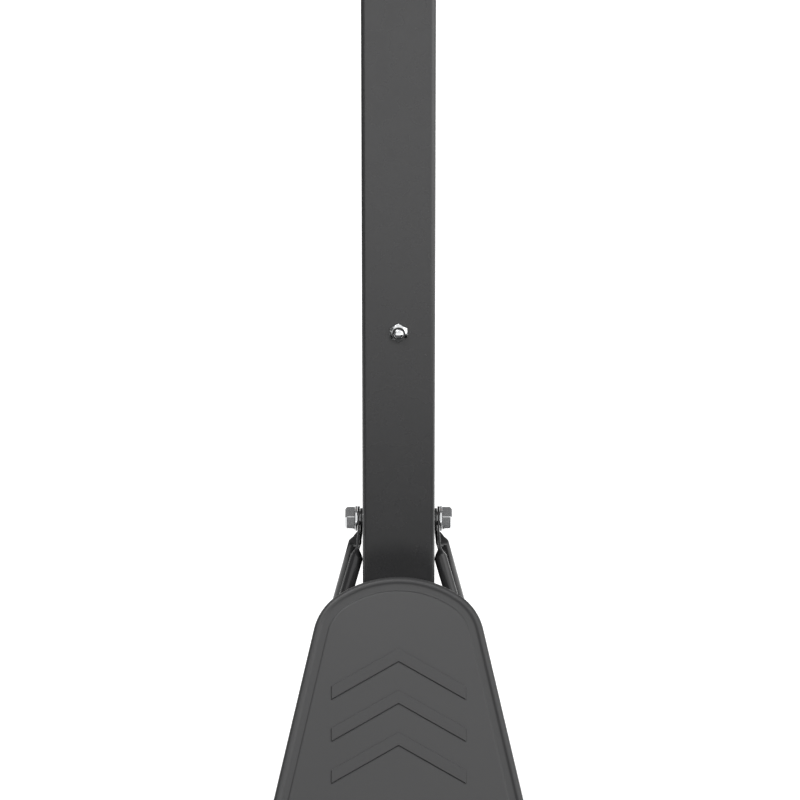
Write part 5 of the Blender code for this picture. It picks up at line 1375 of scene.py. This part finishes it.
def seen_directly(tree):
    """One where a camera, glossy or transmission ray looks, else nothing."""
    path = wired(tree, "ShaderNodeLightPath")
    seen = path["Is Camera Ray"]
    for key in ("Is Glossy Ray", "Is Transmission Ray"):
        seen = wired(tree, "ShaderNodeMath", {0: seen, 1: path[key]}, operation="MAXIMUM")[0]
    return seen


WHITE, BLACK = (1, 1, 1, 1), (0, 0, 0, 1)
WORLD_FILL = 0.4
FLOOR_R, FLOOR_COLOUR, FLOOR_GLOW = 30, (0.6, 0.6, 0.6, 1), 0.75


def build_world():
    world = bpy.data.worlds.new("studio")
    bpy.context.scene.world = world
    world.use_nodes = True
    tree = world.node_tree
    inputs = {"Value": seen_directly(tree), "To Min": WORLD_FILL, "To Max": 1.0}
    back = tree.nodes["Background"].inputs
    feed(tree, back["Color"], WHITE)
    feed(tree, back["Strength"], wired(tree, "ShaderNodeMapRange", inputs)["Result"])


def build_floor():
    bm = bmesh.new()
    bmesh.ops.create_circle(bm, cap_ends=True, segments=96, radius=FLOOR_R)
    mix = Recipe("pale_floor")
    mix.set(Base_Color=FLOOR_COLOUR, Roughness=0.9, Specular_IOR_Level=0, Emission_Color=WHITE)
    mix.set(Emission_Strength=mix.maths("MULTIPLY", seen_directly(mix.tree), FLOOR_GLOW))
    solid("floor", bm, mix.material)


CARD_IN, CARD_OUT, CARD_LIFT, WALL_H = 0.03, 5.0, 4 * MM, 3.4
CARD_TURN = 5

# Name, centre, target, width, height, power, and whether reflections show it
LAMPS = (
    ("key", (1.3, -2.7, 3.8), (0, 0, 0.5), 1.2, 1.2, 62, False),
    ("key_glint", (1.3, -2.7, 3.8), (0, 0, 0.5), 1.2, 1.2, 33, True),
    ("top", (-1.5, -1.9, 4.1), (0, 0, 0.5), 1.6, 1.2, 50, True),
    ("court_fill", (-1.4, 3.6, 3.2), (0, 0, 1.8), 1.6, 1.6, 70, False),
)
# Floor cards glow only in reflections and paint a reflected floor; their glow ramps paint gradients, such as
# the pole's face darkening towards its foot.
# Name, first and last bearing, near and far distance, and glow at each
FLOOR_CARDS = (
    ("card_front", -30, 42, 1.0, 2.5, 0.15, 1.6),
    ("card_left", 42, 80, 2.9, 4.5, 0.0, 1.0),
    ("card_rear_left", 80, 170, 2.3, 1.2, 0.0, 1.0),
    ("card_right", -85, -30, 1.35, 2.5, 0.0, 2.8),
)
# Wall cards glow only in reflections: the dim left one paints shade on left-facing glossy surfaces, and the
# bright right one paints highlights on the braces' right sides.
# Name, first and last bearing, and glow
WALL_CARDS = (("card_wall_left", 38, 110, 0.1), ("card_wall_right", -85, -38, 2.2))
# The canopy is a dim sheet overhead that only reflections see, painting shade into upward-facing
# reflections.
CANOPY_HALF_W, CANOPY_LINE, CANOPY_GLOW = 8, ((-0.9, 3.6), (3.2, 3.6), (4.4, 1.4)), 0.22


def reflection_card(name, rows, near, far, least, most):
    """A sheet that only reflections see, from rows of points; its glow runs from one value to another
    between two distances from the stand's middle. The glow paints reflections on glossy parts:
    painted highlights where it is bright, painted shade where it is dim."""
    bm = bmesh.new()
    lines = [[bm.verts.new(point) for point in row] for row in rows]
    for (a, b), (c, d) in zip(lines, lines[1:]):
        bm.faces.new((a, b, d, c))
    mix = Recipe(name)
    reach = mix.add("ShaderNodeVectorMath", {0: mix.place}, operation="LENGTH")["Value"]
    mix.set(Base_Color=BLACK, Specular_IOR_Level=0, Emission_Color=WHITE)
    mix.set(Emission_Strength=mix.remap(reach, near, far, least, most))
    card = solid(name, bm, mix.material)
    for way in ("camera", "diffuse", "shadow", "transmission", "volume_scatter"):
        setattr(card, "visible_" + way, False)


def bearings(first, last):
    """Level directions from one bearing to another, in degrees from the front, left positive."""
    steps = max(1, round(abs(last - first) / CARD_TURN))
    ways = [radians(first + (last - first) * step / steps) for step in range(steps + 1)]
    return [Vector((-sin(a), -cos(a), 0)) for a in ways]


def build_lights():
    for lamp in LAMPS:
        panel_light(*lamp)
    # The cards are glowing sheets that only reflections see; they paint highlights and shade on glossy
    # parts.
    lift = UP * CARD_LIFT
    for name, first, last, *glow in FLOOR_CARDS:
        rows = [[way * CARD_IN + lift, way * CARD_OUT + lift] for way in bearings(first, last)]
        reflection_card(name, rows, *glow)
    for name, first, last, glow in WALL_CARDS:
        rows = [[way * CARD_OUT, way * CARD_OUT + UP * WALL_H] for way in bearings(first, last)]
        reflection_card(name, rows, 0, CARD_OUT, glow, glow)
    canopy = [[(x, y, z) for x in (-CANOPY_HALF_W, CANOPY_HALF_W)] for y, z in CANOPY_LINE]
    reflection_card("card_canopy", canopy, 0, 1, CANOPY_GLOW, CANOPY_GLOW)


def both_sides(*builders):
    for build in builders:
        for name, side in SIDES.items():
            build(name, side)


class STAND_OT_stage(bpy.types.Operator):
    """Set up the camera, the floor, the world and the lights"""
    bl_idname = "stand.stage"
    bl_label = "Stage"

    def execute(self, context):
        build_camera()
        build_world()
        build_floor()
        build_lights()
        return {"FINISHED"}


class STAND_OT_shield(bpy.types.Operator):
    """Build the base's shield face with its raised chevrons"""
    bl_idname = "stand.shield"
    bl_label = "Base shield"

    def execute(self, context):
        build_shield()
        return {"FINISHED"}


class STAND_OT_tank(bpy.types.Operator):
    """Build the blow-moulded tank behind the shield face"""
    bl_idname = "stand.tank"
    bl_label = "Base tank"

    def execute(self, context):
        build_tank()
        return {"FINISHED"}


class STAND_OT_pole(bpy.types.Operator):
    """Build the outer pole and its collar"""
    bl_idname = "stand.pole"
    bl_label = "Outer pole"

    def execute(self, context):
        build_pole()
        return {"FINISHED"}


class STAND_OT_braces(bpy.types.Operator):
    """Build the four braces with their flattened ends"""
    bl_idname = "stand.braces"
    bl_label = "Braces"

    def execute(self, context):
        both_sides(build_rear_brace, build_front_brace)
        return {"FINISHED"}


class STAND_OT_fasteners(bpy.types.Operator):
    """Build the brace bolts with their washers, and the height stop"""
    bl_idname = "stand.fasteners"
    bl_label = "Brace fasteners"

    def execute(self, context):
        both_sides(build_brace_fasteners)
        build_stop()
        return {"FINISHED"}


class STAND_OT_wheels(bpy.types.Operator):
    """Build the transport wheels on their spindle"""
    bl_idname = "stand.wheels"
    bl_label = "Wheels"

    def execute(self, context):
        both_sides(build_wheels)
        build_axle()
        return {"FINISHED"}


class STAND_OT_plug(bpy.types.Operator):
    """Build the tank's screw plug and its gasket"""
    bl_idname = "stand.plug"
    bl_label = "Tank plug"

    def execute(self, context):
        build_plug()
        return {"FINISHED"}


class STAND_OT_knob(bpy.types.Operator):
    """Build the clamp knob on the collar"""
    bl_idname = "stand.knob"
    bl_label = "Clamp knob"

    def execute(self, context):
        build_knob()
        return {"FINISHED"}


class STAND_OT_mast(bpy.types.Operator):
    """Build the sliding mast and its cap"""
    bl_idname = "stand.mast"
    bl_label = "Mast"

    def execute(self, context):
        build_mast()
        return {"FINISHED"}


class STAND_OT_trusses(bpy.types.Operator):
    """Build the truss plates and their through bolts"""
    bl_idname = "stand.trusses"
    bl_label = "Trusses"

    def execute(self, context):
        both_sides(build_truss)
        build_through_bolts()
        return {"FINISHED"}


class STAND_OT_board(bpy.types.Operator):
    """Build the board on its frame of square tube"""
    bl_idname = "stand.board"
    bl_label = "Board"

    def execute(self, context):
        build_board_frame()
        build_board()
        return {"FINISHED"}


class STAND_OT_rim(bpy.types.Operator):
    """Build the sprung rim, its mount and the knotted net"""
    bl_idname = "stand.rim"
    bl_label = "Rim and net"

    def execute(self, context):
        build_rim_mount()
        build_rim()
        build_net()
        return {"FINISHED"}


OPERATORS = (STAND_OT_stage, STAND_OT_shield, STAND_OT_tank, STAND_OT_pole, STAND_OT_braces,
             STAND_OT_fasteners, STAND_OT_wheels, STAND_OT_plug, STAND_OT_knob, STAND_OT_mast,
             STAND_OT_trusses, STAND_OT_board, STAND_OT_rim)


class VIEW3D_PT_stand(bpy.types.Panel):
    """Lists the stand's builders in the sidebar"""
    bl_label = "Basketball stand"
    bl_space_type = "VIEW_3D"
    bl_region_type = "UI"
    bl_category = "Stand"

    def draw(self, context):
        for group in OPERATORS:
            self.layout.operator(group.bl_idname)


CLASSES = (BaseSizes, SteelSizes, Finishes, *OPERATORS, VIEW3D_PT_stand)
SLOT_FINISHES = {"coated_steel": "powder_coat", "base_plastic": "moulding", "fitting_plastic": "fittings",
                 "zinc_steel": "zinc", "rubber": "rubber", "board_sheet": "board", "rim_paint": "rim_paint",
                 "net_cord": "cord"}


def register():
    for made in CLASSES:
        bpy.utils.register_class(made)
    bpy.types.Scene.stand_base = PointerProperty(type=BaseSizes)
    bpy.types.Scene.stand_steel = PointerProperty(type=SteelSizes)
    bpy.types.Scene.stand_finishes = PointerProperty(type=Finishes)


def unregister():
    del bpy.types.Scene.stand_base
    del bpy.types.Scene.stand_steel
    del bpy.types.Scene.stand_finishes
    for made in reversed(CLASSES):
        bpy.utils.unregister_class(made)


def main():
    register()
    bpy.context.scene.view_settings.view_transform = "Standard"
    stand = bpy.ops.stand
    for build in (stand.stage, stand.shield, stand.tank, stand.pole, stand.braces, stand.fasteners,
                  stand.wheels, stand.plug, stand.knob, stand.mast, stand.trusses, stand.board, stand.rim):
        build()
    slots = {part["node"]: part["material_slot"] for part in frame["record"]["subparts"]}
    for node, obj in frame["nodes"].items():
        obj.data.materials.clear()
        obj.data.materials.append(finish(SLOT_FINISHES[slots[node]]))


if __name__ == "__main__":
    main()
